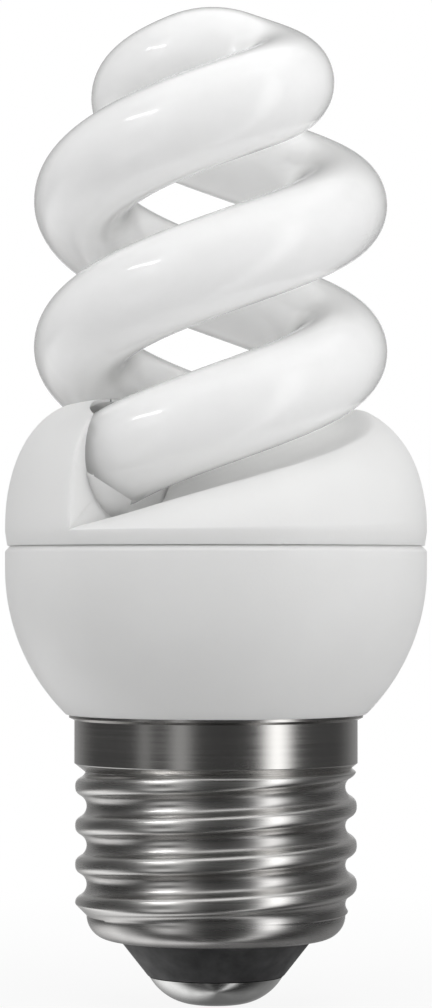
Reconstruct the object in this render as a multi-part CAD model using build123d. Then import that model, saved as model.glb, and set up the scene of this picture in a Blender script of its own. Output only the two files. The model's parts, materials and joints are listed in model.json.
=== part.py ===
from build123d import *
import os
from math import acos, atan, cos, degrees, pi, radians, sin, sqrt

# Mini spiral fluorescent lamp with its ballast in the base and an E27 screw cap.
# The origin is on the lamp's axis at the tip of the centre contact, and +Z runs up the axis.
# Lengths are millimetres. Azimuths are degrees from +X towards +Y, and the front is at -90.

# Centre contact and insulator
CONTACT_D = 12.4
CONTACT_H = 2.6
CONTACT_TIP_D = 3.5
CONTACT_BULGE = 0.51
EYELET_D = 3.0
EYELET_WALL = 0.6
EYELET_FLOOR = 1.2
EYELET_STAND = 0.8
INSULATOR_H = 3.6
INSULATOR_FOOT_D = 12.6
INSULATOR_RIM_D = 18.2
CAP_CLEARANCE = 0.05

# Screw shell: thin sheet, whose barrel is at the root of the E27 thread
SHELL_H = 20.7
SHELL_T = 0.35
SHELL_CURL_H = 2.1
COLLAR_D = 26.4
COLLAR_H = 4.9
COLLAR_TAPER_H = 0.9
LIP_D = 27.4
LIP_H = 0.5
THREAD_ROOT_D = 24.1

# Ballast housing: bowl, neck and the seam with the cover
BOWL_H = 15.7
BOWL_SIDE_H = 2.1
BOWL_OVERHANG = 0.25
HOUSING_WALL = 1.4
NECK_H = 12.0
NECK_WALL = 1.3
NECK_CLEARANCE = 0.1
SEAM_CHAMFER = 0.4
RIB_COUNT = 6
RIB_T = 1.2
RIB_SHELF = 1.3
RIB_AZIMUTH = 15.0

# Discharge tube: two arms of one right-hand double helix, joined over the top
TUBE_D = 9.4
HELIX_D = 23.6
TUBE_PITCH = 27.3
TUBE_TURN = 412.0
TUBE_TAIL = 35.0
CROWN_BEND = 1.6
PRESS_L = 4.0
PRESS_W = 8.0
PRESS_T = 2.6
SPIRAL_SHIFT = 0.5

# Tube cover: dome with two helical ramps, each ending at the other's socket wall
SOCKET_AZIMUTH = -132.0
SOCKET_H = 6.9
SOCKET_CLEARANCE = 0.8
SOCKET_DEPTH = 95.0
MOUTH_CLEARANCE = 1.05
MOUTH_DEPTH = 12.0
MOUTH_LEAD = 15.0
SOCKET_LAND = 1.9
TROUGH_CLEARANCE = 1.25
RIM_H = 1.3
DOME_H = 12.1
DOME_TOP_D = 23.5
COVER_WALL = 1.3
RAMP_SWEEP = 150.0
RAMP_START_H = 1.0
RAMP_LEAN = 3.0
RAMP_PROUD = 0.08
RAMP_SECTIONS = 7
RAMP_RUNOUT = 10.0
TROUGH_PITCH = 25.0
TROUGH_SWEEP = 176.0
SPIGOT_H = 3.0
SPIGOT_T = 1.2
SPIGOT_CLEARANCE = 0.15
SNAP_H = 0.4
SNAP_CLEARANCE = 0.1
SNAP_DROP = 1.5
CEMENT_DEPTH = 20.0
CEMENT_L = 6.0

# Circuit board and its parts. Places are (x, y) on the board, and parts hang from its underside.
BOARD_T = 1.6
BOARD_CLEARANCE = 0.3
BOARD_PRESS = 0.1
LEAD_W = 0.6
PART_STAND = 0.4
BULK_D = 8.0
BULK_L = 13.0
BULK_PLACE = (0.0, 4.4)
BULK_LEAD_SPAN = 3.5
BULK_GROOVE = 0.5
BULK_GROOVE_DROP = 2.0
CHOKE_PLACE = (0.0, -5.9)
CHOKE_L = 10.0
CHOKE_W = 9.2
CHOKE_T = 4.4
CHOKE_CENTRE_LEG = 2.6
CHOKE_SIDE_LEG = 1.5
CHOKE_BACK = 1.6
CHOKE_GAP = 0.1
BOBBIN_WALL = 0.5
BOBBIN_FLANGE_T = 0.6
BOBBIN_CLEARANCE = 0.1
BOBBIN_H = 8.2
BOBBIN_PIN_SPAN = 3.6
WINDING_INSET = 0.25
TOROID_PLACE = (9.4, 4.3)
TOROID_D = 7.6
TOROID_BORE = 3.8
TOROID_T = 3.2
TOROID_WRAP = 0.5
TOROID_WINDINGS = 3
TOROID_SECTOR = 70.0
TOROID_LEAD_SECTOR = 40.0
TRANSISTOR_PLACES = ((-8.4, 1.6), (-8.4, -3.9))
TRANSISTOR_D = 4.6
TRANSISTOR_H = 4.8
TRANSISTOR_FLAT = 1.5
TRANSISTOR_LEAD_SPAN = 1.27
TRANSISTOR_STAND = 2.0
FILM_CHAMFER = 0.6
FILM_LEAD_SPAN = 5.0
START_CAPACITOR_PLACE = (0.0, 11.4)
START_CAPACITOR_SIZE = (7.6, 2.9, 6.5)
COUPLING_CAPACITOR_PLACE = (8.7, -4.9)
COUPLING_CAPACITOR_SIZE = (2.6, 7.0, 6.0)
SNUBBER_PLACE = (7.6, 11.1)
SNUBBER_D = 5.0
SNUBBER_T = 2.0
SNUBBER_CHAMFER = 0.5
SNUBBER_LEAD_SPAN = 2.5
INDUCTOR_PLACE = (-10.3, 6.0)
INDUCTOR_D = 3.6
INDUCTOR_H = 5.0
INDUCTOR_LEAD_SPAN = 2.0
AXIAL_INSET = 3.4
AXIAL_SPAN = 2.0
AXIAL_STAND = 1.2
AXIAL_TURN = 1.0
AXIAL_SIDES = 8
DIODE_AZIMUTHS = (-50.0, -64.0, -78.0, -92.0)
DIODE_D = 2.7
DIODE_L = 4.2
RESISTOR_AZIMUTHS = (-108.0, -121.0, -134.0, -147.0)
RESISTOR_D = 2.2
RESISTOR_L = 4.0
DIAC_AZIMUTHS = (-166.0,)
DIAC_D = 1.9
DIAC_L = 3.2
FUSE_D = 2.8
FUSE_L = 7.0
FUSE_STAND = 2.0
WIRE_W = 0.7
LIVE_WIRE_PLACE = (4.6, -0.3)
LIVE_WIRE_RISE = 1.4
LIVE_WIRE_SLOPE_H = 4.0
NEUTRAL_AZIMUTH = 135.0
NEUTRAL_PLACE_R = 8.9
NEUTRAL_GROOVE_W = 0.9
NEUTRAL_GROOVE_H = 4.0
NEUTRAL_DROP = 1.0
POST_W = 0.9
POST_H = 3.0
POST_INSET = 2.6
POST_AZIMUTHS = (35.0, 50.0)
POST_WRAP_H = 1.8
POST_WRAP_T = 0.5
TUBE_LEAD_W = 0.5
TUBE_LEAD_SPAN = 4.4
TUBE_LEAD_RUN = 2.4

# Places and radii that follow from the sizes above
SHELL_Z = CONTACT_H + INSULATOR_H
CURL_Z = SHELL_Z + SHELL_CURL_H
BOWL_Z = SHELL_Z + SHELL_H
SEAM_Z = BOWL_Z + BOWL_H
RIM_Z = SEAM_Z + RIM_H
DOME_Z = RIM_Z + DOME_H
TUBE_R = TUBE_D / 2
HELIX_R = HELIX_D / 2
TROUGH_R = TUBE_R + TROUGH_CLEARANCE
BODY_R = HELIX_R + TROUGH_R + SOCKET_LAND
SOCKET_Z = RIM_Z + SOCKET_H
ROOT_R = THREAD_ROOT_D / 2
BORE_R = ROOT_R - SHELL_T
COLLAR_R = COLLAR_D / 2
COLLAR_Z = BOWL_Z - LIP_H - COLLAR_H
MOUTH_R = INSULATOR_RIM_D / 2 - SHELL_T
HOUSING_BORE_R = BODY_R - HOUSING_WALL
SPIGOT_R = HOUSING_BORE_R - SPIGOT_CLEARANCE
SNAP_Z = SEAM_Z - SNAP_DROP
NECK_Z = BOWL_Z - NECK_H
BOARD_TOP = SEAM_Z - SPIGOT_H - BOARD_PRESS
BOARD_Z = BOARD_TOP - BOARD_T
BOWL_FOOT_R = LIP_D / 2 + BOWL_OVERHANG
BOWL_ARC_Z = SEAM_Z - BOWL_SIDE_H
BOWL_ARC_R = ((BODY_R - BOWL_FOOT_R) ** 2 + (BOWL_ARC_Z - BOWL_Z) ** 2) / (2 * (BODY_R - BOWL_FOOT_R))
FUSE_Z = CURL_Z + EYELET_STAND + FUSE_STAND


def revolved(*edges):
    """Turn a closed outline of (radius, height) edges round the lamp's axis."""
    return revolve(Plane.XZ * make_face(edges), Axis.Z)


def turned(*points):
    """Turn a polygon of (radius, height) corners round the lamp's axis."""
    return revolve(Plane.XZ * make_face(Polyline(*points, close=True)), Axis.Z)


def wire_along(path, width):
    """Square wire that follows a path of straight runs."""
    section = Plane(origin=path @ 0, z_dir=path % 0) * Rectangle(width, width)
    return sweep(section, path=path, transition=Transition.RIGHT)


def rod(x, y, low, high, diameter):
    """Upright round rod between two heights."""
    return Pos(x, y, (low + high) / 2) * Cylinder(diameter / 2, high - low)


def pin(x, y, low, high, width):
    """Upright square pin between two heights."""
    return Pos(x, y, (low + high) / 2) * Box(width, width, high - low)


def polar(radius, azimuth):
    """Point (x, y) at a radius and an azimuth."""
    return (radius * cos(radians(azimuth)), radius * sin(radians(azimuth)))


# Screw cap


def centre_contact():
    """Domed contact with the hollow eyelet that goes up through the insulator."""
    contact_r = CONTACT_D / 2
    tip_r = CONTACT_TIP_D / 2
    top = CONTACT_H - CAP_CLEARANCE
    eyelet_r = EYELET_D / 2
    eyelet_top = CURL_Z + EYELET_STAND
    dome = ThreePointArc((tip_r, 0), ((tip_r + contact_r) / 2, CONTACT_BULGE), (contact_r, top))
    rest = Polyline(
        (contact_r, top),
        (eyelet_r, top),
        (eyelet_r, eyelet_top),
        (eyelet_r - EYELET_WALL, eyelet_top),
        (eyelet_r - EYELET_WALL, EYELET_FLOOR),
        (0, EYELET_FLOOR),
        (0, 0),
        (tip_r, 0),
    )
    return revolved(dome, rest)


def cap_insulator():
    """Black cone under the shell, with the plug that fills the shell's curl."""
    hole_r = EYELET_D / 2 + CAP_CLEARANCE
    rim_z = SHELL_Z - CAP_CLEARANCE
    plug_r = MOUTH_R - CAP_CLEARANCE
    top_r = BORE_R - CAP_CLEARANCE
    return turned(
        (hole_r, CONTACT_H),
        (INSULATOR_FOOT_D / 2, CONTACT_H),
        (INSULATOR_RIM_D / 2, rim_z),
        (plug_r, rim_z),
        (plug_r, SHELL_Z + SHELL_T),
        (top_r, CURL_Z),
        (hole_r, CURL_Z),
    )


def shell_bore(inset, low):
    """Inside of the shell above a height, smaller all round by an inset; the neck fits it too."""
    taper_z = COLLAR_Z + COLLAR_TAPER_H
    return turned(
        (0, low),
        (BORE_R - inset, low),
        (BORE_R - inset, COLLAR_Z + inset),
        (COLLAR_R - SHELL_T - inset, taper_z + inset),
        (COLLAR_R - SHELL_T - inset, BOWL_Z),
        (0, BOWL_Z),
    )


def curl_body():
    """Filled cylinder at the thread's root, over a bottom edge that curls in to the insulator."""
    edge_r = INSULATOR_RIM_D / 2
    curl = TangentArc((ROOT_R, CURL_Z), (edge_r, SHELL_Z), tangent=(0, -1))
    rest = Polyline((edge_r, SHELL_Z), (0, SHELL_Z), (0, BOWL_Z), (ROOT_R, BOWL_Z), (ROOT_R, CURL_Z))
    return revolved(curl, rest)


def screw_shell():
    """Plated shell: curled bottom, barrel at the thread's root, plain collar and the lip under the bowl."""
    lip_z = BOWL_Z - LIP_H
    collar = turned(
        (0, COLLAR_Z),
        (ROOT_R, COLLAR_Z),
        (COLLAR_R, COLLAR_Z + COLLAR_TAPER_H),
        (COLLAR_R, lip_z),
        (LIP_D / 2, lip_z + LIP_H / 2),
        (LIP_D / 2, BOWL_Z),
        (0, BOWL_Z),
    )
    body = curl_body() + collar
    mouth = turned(
        (0, SHELL_Z),
        (MOUTH_R, SHELL_Z),
        (MOUTH_R, SHELL_Z + SHELL_T),
        (BORE_R, CURL_Z),
        (0, CURL_Z),
    )
    return body - mouth - shell_bore(0, CURL_Z)


# Ballast housing


def bowl_bore_r(height):
    """Inside radius of the bowl at a height."""
    drop = max(0.0, BOWL_ARC_Z - height)
    return BODY_R - BOWL_ARC_R + sqrt((BOWL_ARC_R - HOUSING_WALL) ** 2 - drop**2)


def bowl_outside():
    """Filled outer form of the bowl, with the chamfer at the seam."""
    arc = TangentArc((BODY_R, BOWL_ARC_Z), (BOWL_FOOT_R, BOWL_Z), tangent=(0, -1))
    rest = Polyline(
        (BOWL_FOOT_R, BOWL_Z),
        (0, BOWL_Z),
        (0, SEAM_Z),
        (BODY_R - SEAM_CHAMFER, SEAM_Z),
        (BODY_R, SEAM_Z - SEAM_CHAMFER),
        (BODY_R, BOWL_ARC_Z),
    )
    return revolved(arc, rest)


def bowl_inside():
    """Hollow of the bowl above its floor, in straight flares that end on the wall's inner arc."""
    floor_z = BOWL_Z + HOUSING_WALL
    heights = (floor_z, (floor_z + BOARD_Z) / 2, BOARD_Z, BOWL_ARC_Z)
    flares = [(bowl_bore_r(height), height) for height in heights]
    return turned((0, floor_z), *flares, (HOUSING_BORE_R, SEAM_Z), (0, SEAM_Z))


def snap_ring(height):
    """Bead of triangular section at the snap line of the two mouldings."""
    return turned((SPIGOT_R, SNAP_Z - height), (SPIGOT_R + height, SNAP_Z), (SPIGOT_R, SNAP_Z + height))


def board_ribs():
    """Upright ribs inside the bowl whose tops carry the board's edge."""
    inner = board_r() - RIB_SHELF
    height = BOARD_Z - BOWL_Z
    blank = Pos((inner + BODY_R) / 2, 0, BOWL_Z + height / 2) * Box(BODY_R - inner, RIB_T, height)
    step = 360 / RIB_COUNT
    ribs = [Rot(0, 0, RIB_AZIMUTH + k * step) * blank for k in range(RIB_COUNT)]
    return Part() + ribs & bowl_outside()


def neutral_groove():
    """Groove down the outside of the neck for the neutral wire."""
    depth = WIRE_W + CAP_CLEARANCE
    width = BORE_R - NECK_CLEARANCE
    block = Pos(width, 0, NECK_Z) * Box(2 * depth, NEUTRAL_GROOVE_W, 2 * NEUTRAL_GROOVE_H)
    return Rot(0, 0, NEUTRAL_AZIMUTH) * block


def ballast_housing():
    """Lower moulding: bowl, neck in the shell, ribs for the board and the snap groove."""
    neck_r = BORE_R - NECK_CLEARANCE - NECK_WALL
    neck = shell_bore(NECK_CLEARANCE, NECK_Z)
    bore = rod(0, 0, NECK_Z, BOWL_Z + HOUSING_WALL, 2 * neck_r)
    shell = bowl_outside() - bowl_inside() + neck - bore + board_ribs()
    return shell - snap_ring(SNAP_H + SPIGOT_CLEARANCE + SNAP_CLEARANCE) - neutral_groove()


# Discharge tube


def tube_arm():
    """Centre line of one arm, from its end in the socket to the top of the crown.

    A helix, then a tighter helix of the same slope that turns in until it heads for the axis,
    then an upright arc that levels out on the axis.
    """
    slope = tube_slope()
    bend_r = TUBE_R + CROWN_BEND
    run_in = bend_r * sin(slope)
    turn_r = (HELIX_R - run_in**2 / HELIX_R) / 2
    offset = HELIX_R - turn_r
    turn = 180 - degrees(acos(turn_r / offset))
    leave = SOCKET_AZIMUTH + TUBE_TURN
    helix = tube_helix(-TUBE_TAIL, TUBE_TURN)
    pitch = TUBE_PITCH * turn_r / HELIX_R
    x, y = polar(offset, leave)
    inward = Pos(x, y, (helix @ 1).Z) * Rot(0, 0, leave) * Helix(pitch, pitch * turn / 360, turn_r)
    top = (inward @ 1).Z + bend_r * (1 - cos(slope))
    crown = TangentArc(inward @ 1, (0, 0, top), tangent=inward % 1)
    return [helix, inward, crown]


def tube_slope():
    """Slope of the tube's helix, in radians."""
    return atan(TUBE_PITCH / (2 * pi * HELIX_R))


def tube_helix(start, end):
    """Stretch of the tube's helix, with azimuths counted from the socket wall."""
    low = SOCKET_Z + TUBE_PITCH * start / 360
    helix = Helix(TUBE_PITCH, TUBE_PITCH * (end - start) / 360, HELIX_R)
    return Pos(0, 0, low) * Rot(0, 0, SOCKET_AZIMUTH + start) * helix


def press_plane(distance):
    """Plane across the tube's end, some way out along it, with x level and pointing outwards."""
    helix = tube_helix(-TUBE_TAIL, 0)
    ahead = (helix % 0) * -1
    x, y = polar(1, SOCKET_AZIMUTH - TUBE_TAIL)
    return Plane(origin=(helix @ 0) + ahead * distance, x_dir=(x, y, 0), z_dir=ahead)


def tube_press():
    """Flat press that seals a tube's end: round where it leaves the tube, thin at its tip."""
    root = press_plane(0) * Circle(TUBE_R)
    tip = press_plane(PRESS_L) * Ellipse(PRESS_W / 2, PRESS_T / 2)
    return loft([root, tip])


def seated(shape):
    """A shape moved with the spiral, which sits a little to the left of the lamp's axis in its sockets."""
    return Pos(-SPIRAL_SHIFT, 0, 0) * shape


def discharge_tube():
    """Sealed glass tube: both arms over the crown, with a press at each end."""
    arm = tube_arm()
    back = [Rot(0, 0, 180) * edge for edge in reversed(arm)]
    path = Wire([curve.edge() for curve in arm + back])
    tube = sweep(Plane(origin=arm[0] @ 0, z_dir=arm[0] % 0) * Circle(TUBE_R), path=path)
    press = tube_press()
    return seated(tube + press + Rot(0, 0, 180) * press)


# Tube cover


def crown_curve(share, rim_r):
    """Curve from the rim in to the dome's top, at a share of the full height."""
    top = RIM_Z + DOME_H * share
    lean = RAMP_LEAN * max(0.0, 1 - share)
    return Bezier((rim_r, RIM_Z), (rim_r - lean, top), (DOME_TOP_D / 2, top))


def dome():
    """Full dome above the seam."""
    curve = crown_curve(1, BODY_R)
    rest = Polyline(curve @ 1, (0, DOME_Z), (0, SEAM_Z), (BODY_R, SEAM_Z), curve @ 0)
    return revolved(curve, rest)


def ramp_cut():
    """Space over one ramp, lofted through radial sections whose height grows with azimuth."""
    step = (RAMP_SWEEP + RAMP_RUNOUT) / (RAMP_SECTIONS - 1)
    return loft([ramp_section(k * step) for k in range(RAMP_SECTIONS)])


def ramp_section(azimuth):
    """Radial section over the ramp at an azimuth from the socket wall."""
    start_share = RAMP_START_H / DOME_H
    share = start_share + (1 - start_share) * azimuth / RAMP_SWEEP
    curve = crown_curve(share, BODY_R + RAMP_PROUD)
    over = DOME_Z + DOME_H / 2
    rest = Polyline(curve @ 1, ((curve @ 1).X, over), ((curve @ 0).X, over), curve @ 0)
    return Rot(0, 0, SOCKET_AZIMUTH + azimuth) * (Plane.XZ * make_face([curve, rest]))


def trough_depth():
    """Depth of the trough's bottom below the tube's centre line, at the socket wall."""
    return TROUGH_R / cos(tube_slope())


def trough_cut():
    """Trough under the tube: upright sides over a bottom concentric with the tube at the wall."""
    middle = (HELIX_R, SOCKET_Z)
    bottom = EllipticalCenterArc(middle, TROUGH_R, trough_depth(), start_angle=180, arc_size=180)
    over = SOCKET_Z + DOME_H
    sides = Polyline(
        (HELIX_R + TROUGH_R, SOCKET_Z),
        (HELIX_R + TROUGH_R, over),
        (HELIX_R - TROUGH_R, over),
        (HELIX_R - TROUGH_R, SOCKET_Z),
    )
    helix = Pos(0, 0, SOCKET_Z) * Helix(TROUGH_PITCH, TROUGH_PITCH * TROUGH_SWEEP / 360, HELIX_R)
    trough = sweep(Plane.XZ * make_face([bottom, sides]), path=helix, is_frenet=True)
    return Rot(0, 0, SOCKET_AZIMUTH) * trough


def tube_stretch(start, end, radius):
    """Round bar along a stretch of the tube's helix, with azimuths counted from the socket wall."""
    path = tube_helix(start, end)
    section = Plane(origin=path @ 0, z_dir=path % 0) * Circle(radius)
    return sweep(section, path=path, is_frenet=True)


def socket_cut():
    """Round socket for a tube's end, from its wall down through the underside."""
    return tube_stretch(-SOCKET_DEPTH, 0, TUBE_R + SOCKET_CLEARANCE)


def mouth_cut():
    """Wider mouth of a socket, from a little behind its wall out into the trough."""
    return tube_stretch(-MOUTH_DEPTH, MOUTH_LEAD, TUBE_R + MOUTH_CLEARANCE)


def both_arms(shape):
    """A shape and its copy half a turn round the axis."""
    return [shape, Rot(0, 0, 180) * shape]


def tube_cover():
    """Upper moulding: dome with ramps, troughs and tube sockets, over a skirt with the snap bead."""
    body = dome()
    for cut in (ramp_cut(), trough_cut(), socket_cut(), mouth_cut()):
        for copy in both_arms(cut):
            body = body - copy
    skirt = rod(0, 0, SEAM_Z - SPIGOT_H, SEAM_Z, 2 * SPIGOT_R) + snap_ring(SNAP_H)
    ceiling = SOCKET_Z - trough_depth() - COVER_WALL
    opening = rod(0, 0, SEAM_Z - SPIGOT_H, ceiling, 2 * (SPIGOT_R - SPIGOT_T))
    return body + (skirt - opening) - opening


def tube_cement():
    """Filler between each tube's end and its socket, thinner on the side that the spiral sits towards."""
    plug_r = TUBE_R + SOCKET_CLEARANCE - CAP_CLEARANCE
    plugs = both_arms(tube_stretch(-CEMENT_DEPTH, CEMENT_L - CEMENT_DEPTH, plug_r))
    ends = both_arms(tube_stretch(-TUBE_TAIL, 0, TUBE_R + CAP_CLEARANCE))
    return [plug - seated(end) for plug, end in zip(plugs, ends)]


# Circuit board


def board_r():
    """Radius of the board, which fits the bowl at its level."""
    return bowl_bore_r(BOARD_Z) - BOARD_CLEARANCE


def lead_pins(places, low):
    """Straight leads from a height up to the board."""
    return [pin(x, y, low, BOARD_Z, LEAD_W) for x, y in places]


def pair_of_leads(place, span_x, span_y):
    """Places of two leads a span apart about a part's place."""
    x, y = place
    return [(x - span_x / 2, y - span_y / 2), (x + span_x / 2, y + span_y / 2)]


def post_places():
    """Places of the four posts that the tube's leads are wound on, two for each end."""
    radius = board_r() - POST_INSET
    azimuths = [SOCKET_AZIMUTH - TUBE_TAIL - turn for turn in POST_AZIMUTHS]
    return [polar(radius, azimuth + half) for half in (0, 180) for azimuth in azimuths]


def circuit_board():
    """Round board."""
    return rod(0, 0, BOARD_Z, BOARD_TOP, 2 * board_r())


def bulk_leads():
    """Lead places of the bulk capacitor."""
    return pair_of_leads(BULK_PLACE, BULK_LEAD_SPAN, 0)


def bulk_capacitor():
    """Electrolytic can with its rolled groove, hanging into the neck."""
    x, y = BULK_PLACE
    top = BOARD_Z - PART_STAND
    radius = BULK_D / 2
    can = turned(
        (0, -BULK_L),
        (radius, -BULK_L),
        (radius, -BULK_GROOVE_DROP - BULK_GROOVE),
        (radius - BULK_GROOVE, -BULK_GROOVE_DROP),
        (radius, -BULK_GROOVE_DROP + BULK_GROOVE),
        (radius, 0),
        (0, 0),
    )
    return Pos(x, y, top) * can + lead_pins(bulk_leads(), top)


def choke_level():
    """Height of the choke's centre under the board."""
    return BOARD_Z - PART_STAND - BOBBIN_H / 2


def choke_core(side):
    """One E half of the ferrite core, its legs along x towards the other half."""
    x, y = CHOKE_PLACE
    length = CHOKE_L / 2 - CHOKE_GAP / 2
    window_l = length - CHOKE_BACK
    window_w = (CHOKE_W - CHOKE_CENTRE_LEG) / 2 - CHOKE_SIDE_LEG
    block = Box(length, CHOKE_W, CHOKE_T)
    window = Pos(CHOKE_BACK / 2, (CHOKE_CENTRE_LEG + window_w) / 2) * Box(window_l, window_w, CHOKE_T)
    half = Rot(0, 0, 0 if side < 0 else 180) * (block - window - mirror(window, Plane.XZ))
    return Pos(x + side * (length + CHOKE_GAP) / 2, y, choke_level()) * half


def bobbin_section(grow):
    """Height and width of the bobbin's tube, grown by a wall."""
    return (CHOKE_CENTRE_LEG + 2 * (BOBBIN_CLEARANCE + grow), CHOKE_T + 2 * (BOBBIN_CLEARANCE + grow))


def bobbin_length():
    """Length of the bobbin between the backs of the two core halves."""
    return CHOKE_L - 2 * CHOKE_BACK - 2 * BOBBIN_CLEARANCE


def bobbin_leads():
    """Places of the bobbin's four pins."""
    x, y = CHOKE_PLACE
    along = (bobbin_length() - BOBBIN_FLANGE_T) / 2
    across = BOBBIN_PIN_SPAN / 2
    return [(x + i * along, y + j * across) for i in (-1, 1) for j in (-1, 1)]


def bobbin_flange_w():
    """Width of the bobbin's flanges, which fit between the core's side legs."""
    return CHOKE_W - 2 * CHOKE_SIDE_LEG - 2 * BOBBIN_CLEARANCE


def choke_bobbin():
    """Moulded bobbin with two flanges and four pins."""
    x, y = CHOKE_PLACE
    length = bobbin_length()
    tube = Box(length, *bobbin_section(BOBBIN_WALL))
    flange = Box(BOBBIN_FLANGE_T, bobbin_flange_w(), BOBBIN_H)
    shift = (length - BOBBIN_FLANGE_T) / 2
    form = tube + Pos(shift, 0, 0) * flange + Pos(-shift, 0, 0) * flange - Box(length, *bobbin_section(0))
    return Pos(x, y, choke_level()) * form + lead_pins(bobbin_leads(), BOARD_Z - PART_STAND)


def choke_winding():
    """Copper winding between the bobbin's flanges."""
    x, y = CHOKE_PLACE
    length = bobbin_length() - 2 * BOBBIN_FLANGE_T - 2 * CAP_CLEARANCE
    outer = Box(length, bobbin_flange_w() - 2 * WINDING_INSET, BOBBIN_H - 2 * WINDING_INSET)
    rounded = chamfer(outer.edges().filter_by(Axis.X), 2 * WINDING_INSET)
    return Pos(x, y, choke_level()) * (rounded - Box(length, *bobbin_section(BOBBIN_WALL + CAP_CLEARANCE)))


def toroid_level():
    """Height of the toroid's middle under the board."""
    return BOARD_Z - PART_STAND - TOROID_WRAP - CAP_CLEARANCE - TOROID_T / 2


def toroid_core():
    """Ferrite ring of the drive transformer."""
    ring = Cylinder(TOROID_D / 2, TOROID_T) - Cylinder(TOROID_BORE / 2, TOROID_T)
    x, y = TOROID_PLACE
    return Pos(x, y, toroid_level()) * ring


def toroid_lead_places(index):
    """Places of the two leads of one winding, at the outside of the ring."""
    x, y = TOROID_PLACE
    middle = index * 360 / TOROID_WINDINGS
    radius = TOROID_D / 2 - LEAD_W / 2
    offsets = [polar(radius, middle + side * TOROID_LEAD_SECTOR / 2) for side in (-1, 1)]
    return [(x + dx, y + dy) for dx, dy in offsets]


def toroid_winding(index):
    """One winding: a sleeve round a sector of the ring, with its two leads."""
    x, y = TOROID_PLACE
    inner = TOROID_BORE / 2 - CAP_CLEARANCE
    outer = TOROID_D / 2 + CAP_CLEARANCE
    height = TOROID_T + 2 * CAP_CLEARANCE
    hole = Rectangle(outer - inner, height)
    wrap = Rectangle(outer - inner + 2 * TOROID_WRAP, height + 2 * TOROID_WRAP)
    section = Pos((inner + outer) / 2, 0) * (wrap - hole)
    start = index * 360 / TOROID_WINDINGS - TOROID_SECTOR / 2
    sleeve = Rot(0, 0, start) * revolve(Plane.XZ * section, Axis.Z, TOROID_SECTOR)
    top = BOARD_Z - PART_STAND - TOROID_WRAP / 2
    return Pos(x, y, toroid_level()) * sleeve + lead_pins(toroid_lead_places(index), top)


def transistor_leads(place):
    """Places of a transistor's three leads in a row along y."""
    x, y = place
    return [(x, y + k * TRANSISTOR_LEAD_SPAN) for k in (-1, 0, 1)]


def switch_transistor(place):
    """Half-round moulded transistor."""
    x, y = place
    top = BOARD_Z - TRANSISTOR_STAND
    body = rod(x, y, top - TRANSISTOR_H, top, TRANSISTOR_D)
    beyond = Pos(x - TRANSISTOR_FLAT - TRANSISTOR_D / 2, y, top - TRANSISTOR_H / 2)
    flat = beyond * Box(TRANSISTOR_D, TRANSISTOR_D, TRANSISTOR_H)
    return body - flat + lead_pins(transistor_leads(place), top)


def film_leads(place, size):
    """Places of a film capacitor's two leads along its longer side."""
    along_x = size[0] > size[1]
    return pair_of_leads(place, FILM_LEAD_SPAN * along_x, FILM_LEAD_SPAN * (not along_x))


def film_capacitor(place, size):
    """Dipped film capacitor: a block with blunt edges."""
    top = BOARD_Z - PART_STAND
    block = Pos(*place, top - size[2] / 2) * Box(*size)
    return chamfer(block.edges(), FILM_CHAMFER) + lead_pins(film_leads(place, size), top - FILM_CHAMFER)


def snubber_leads():
    """Lead places of the disc capacitor."""
    return pair_of_leads(SNUBBER_PLACE, SNUBBER_LEAD_SPAN, 0)


def snubber_capacitor():
    """Ceramic disc on edge."""
    x, y = SNUBBER_PLACE
    middle = BOARD_Z - PART_STAND - SNUBBER_D / 2
    disc = Cylinder(SNUBBER_D / 2, SNUBBER_T)
    blunt = chamfer(disc.edges(), SNUBBER_CHAMFER)
    return Pos(x, y, middle) * Rot(90, 0, 0) * blunt + lead_pins(snubber_leads(), middle)


def inductor_leads():
    """Lead places of the input inductor."""
    return pair_of_leads(INDUCTOR_PLACE, 0, INDUCTOR_LEAD_SPAN)


def input_inductor():
    """Drum inductor in its sleeve."""
    top = BOARD_Z - PART_STAND
    return rod(*INDUCTOR_PLACE, top - INDUCTOR_H, top, INDUCTOR_D) + lead_pins(inductor_leads(), top)


def axial_part(azimuth, diameter, length):
    """Axial part on end near the board's edge: one lead straight up, the other bent back up beside it."""
    near = board_r() - AXIAL_INSET
    far = near - AXIAL_SPAN
    top = BOARD_Z - AXIAL_STAND
    low = top - length
    turn = low - AXIAL_TURN
    body = Pos(near, 0, low) * extrude(RegularPolygon(diameter / 2, AXIAL_SIDES), length)
    back = Polyline((near, 0, low), (near, 0, turn), (far, 0, turn), (far, 0, BOARD_Z))
    return Rot(0, 0, azimuth) * (body + wire_along(back, LEAD_W) + lead_pins([(near, 0)], top))


def fusible_resistor():
    """Resistor on the axis in the cap, its lower lead in the contact's eyelet."""
    lead = pin(0, 0, EYELET_FLOOR + CAP_CLEARANCE, FUSE_Z, LEAD_W)
    return rod(0, 0, FUSE_Z, FUSE_Z + FUSE_L, FUSE_D) + lead


def live_wire():
    """Wire from the resistor up past the choke to the board."""
    start = FUSE_Z + FUSE_L
    x, y = LIVE_WIRE_PLACE
    bend = start + LIVE_WIRE_RISE
    path = Polyline((0, 0, start), (0, 0, bend), (x, y, bend + LIVE_WIRE_SLOPE_H), (x, y, BOARD_Z))
    return wire_along(path, WIRE_W)


def neutral_wire():
    """Wire held between neck and shell, under the neck's edge and up to the board."""
    outer = BORE_R - CAP_CLEARANCE - WIRE_W / 2
    low = NECK_Z - NEUTRAL_DROP
    high = NECK_Z + NEUTRAL_GROOVE_H - WIRE_W
    inner = NEUTRAL_PLACE_R
    path = Polyline((outer, 0, high), (outer, 0, low), (inner, 0, low), (inner, 0, BOARD_Z))
    return Rot(0, 0, NEUTRAL_AZIMUTH) * wire_along(path, WIRE_W)


def wrap_post(place):
    """Square post on the board that a tube lead is wound on."""
    return pin(*place, BOARD_TOP, BOARD_TOP + POST_H, POST_W)


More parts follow.
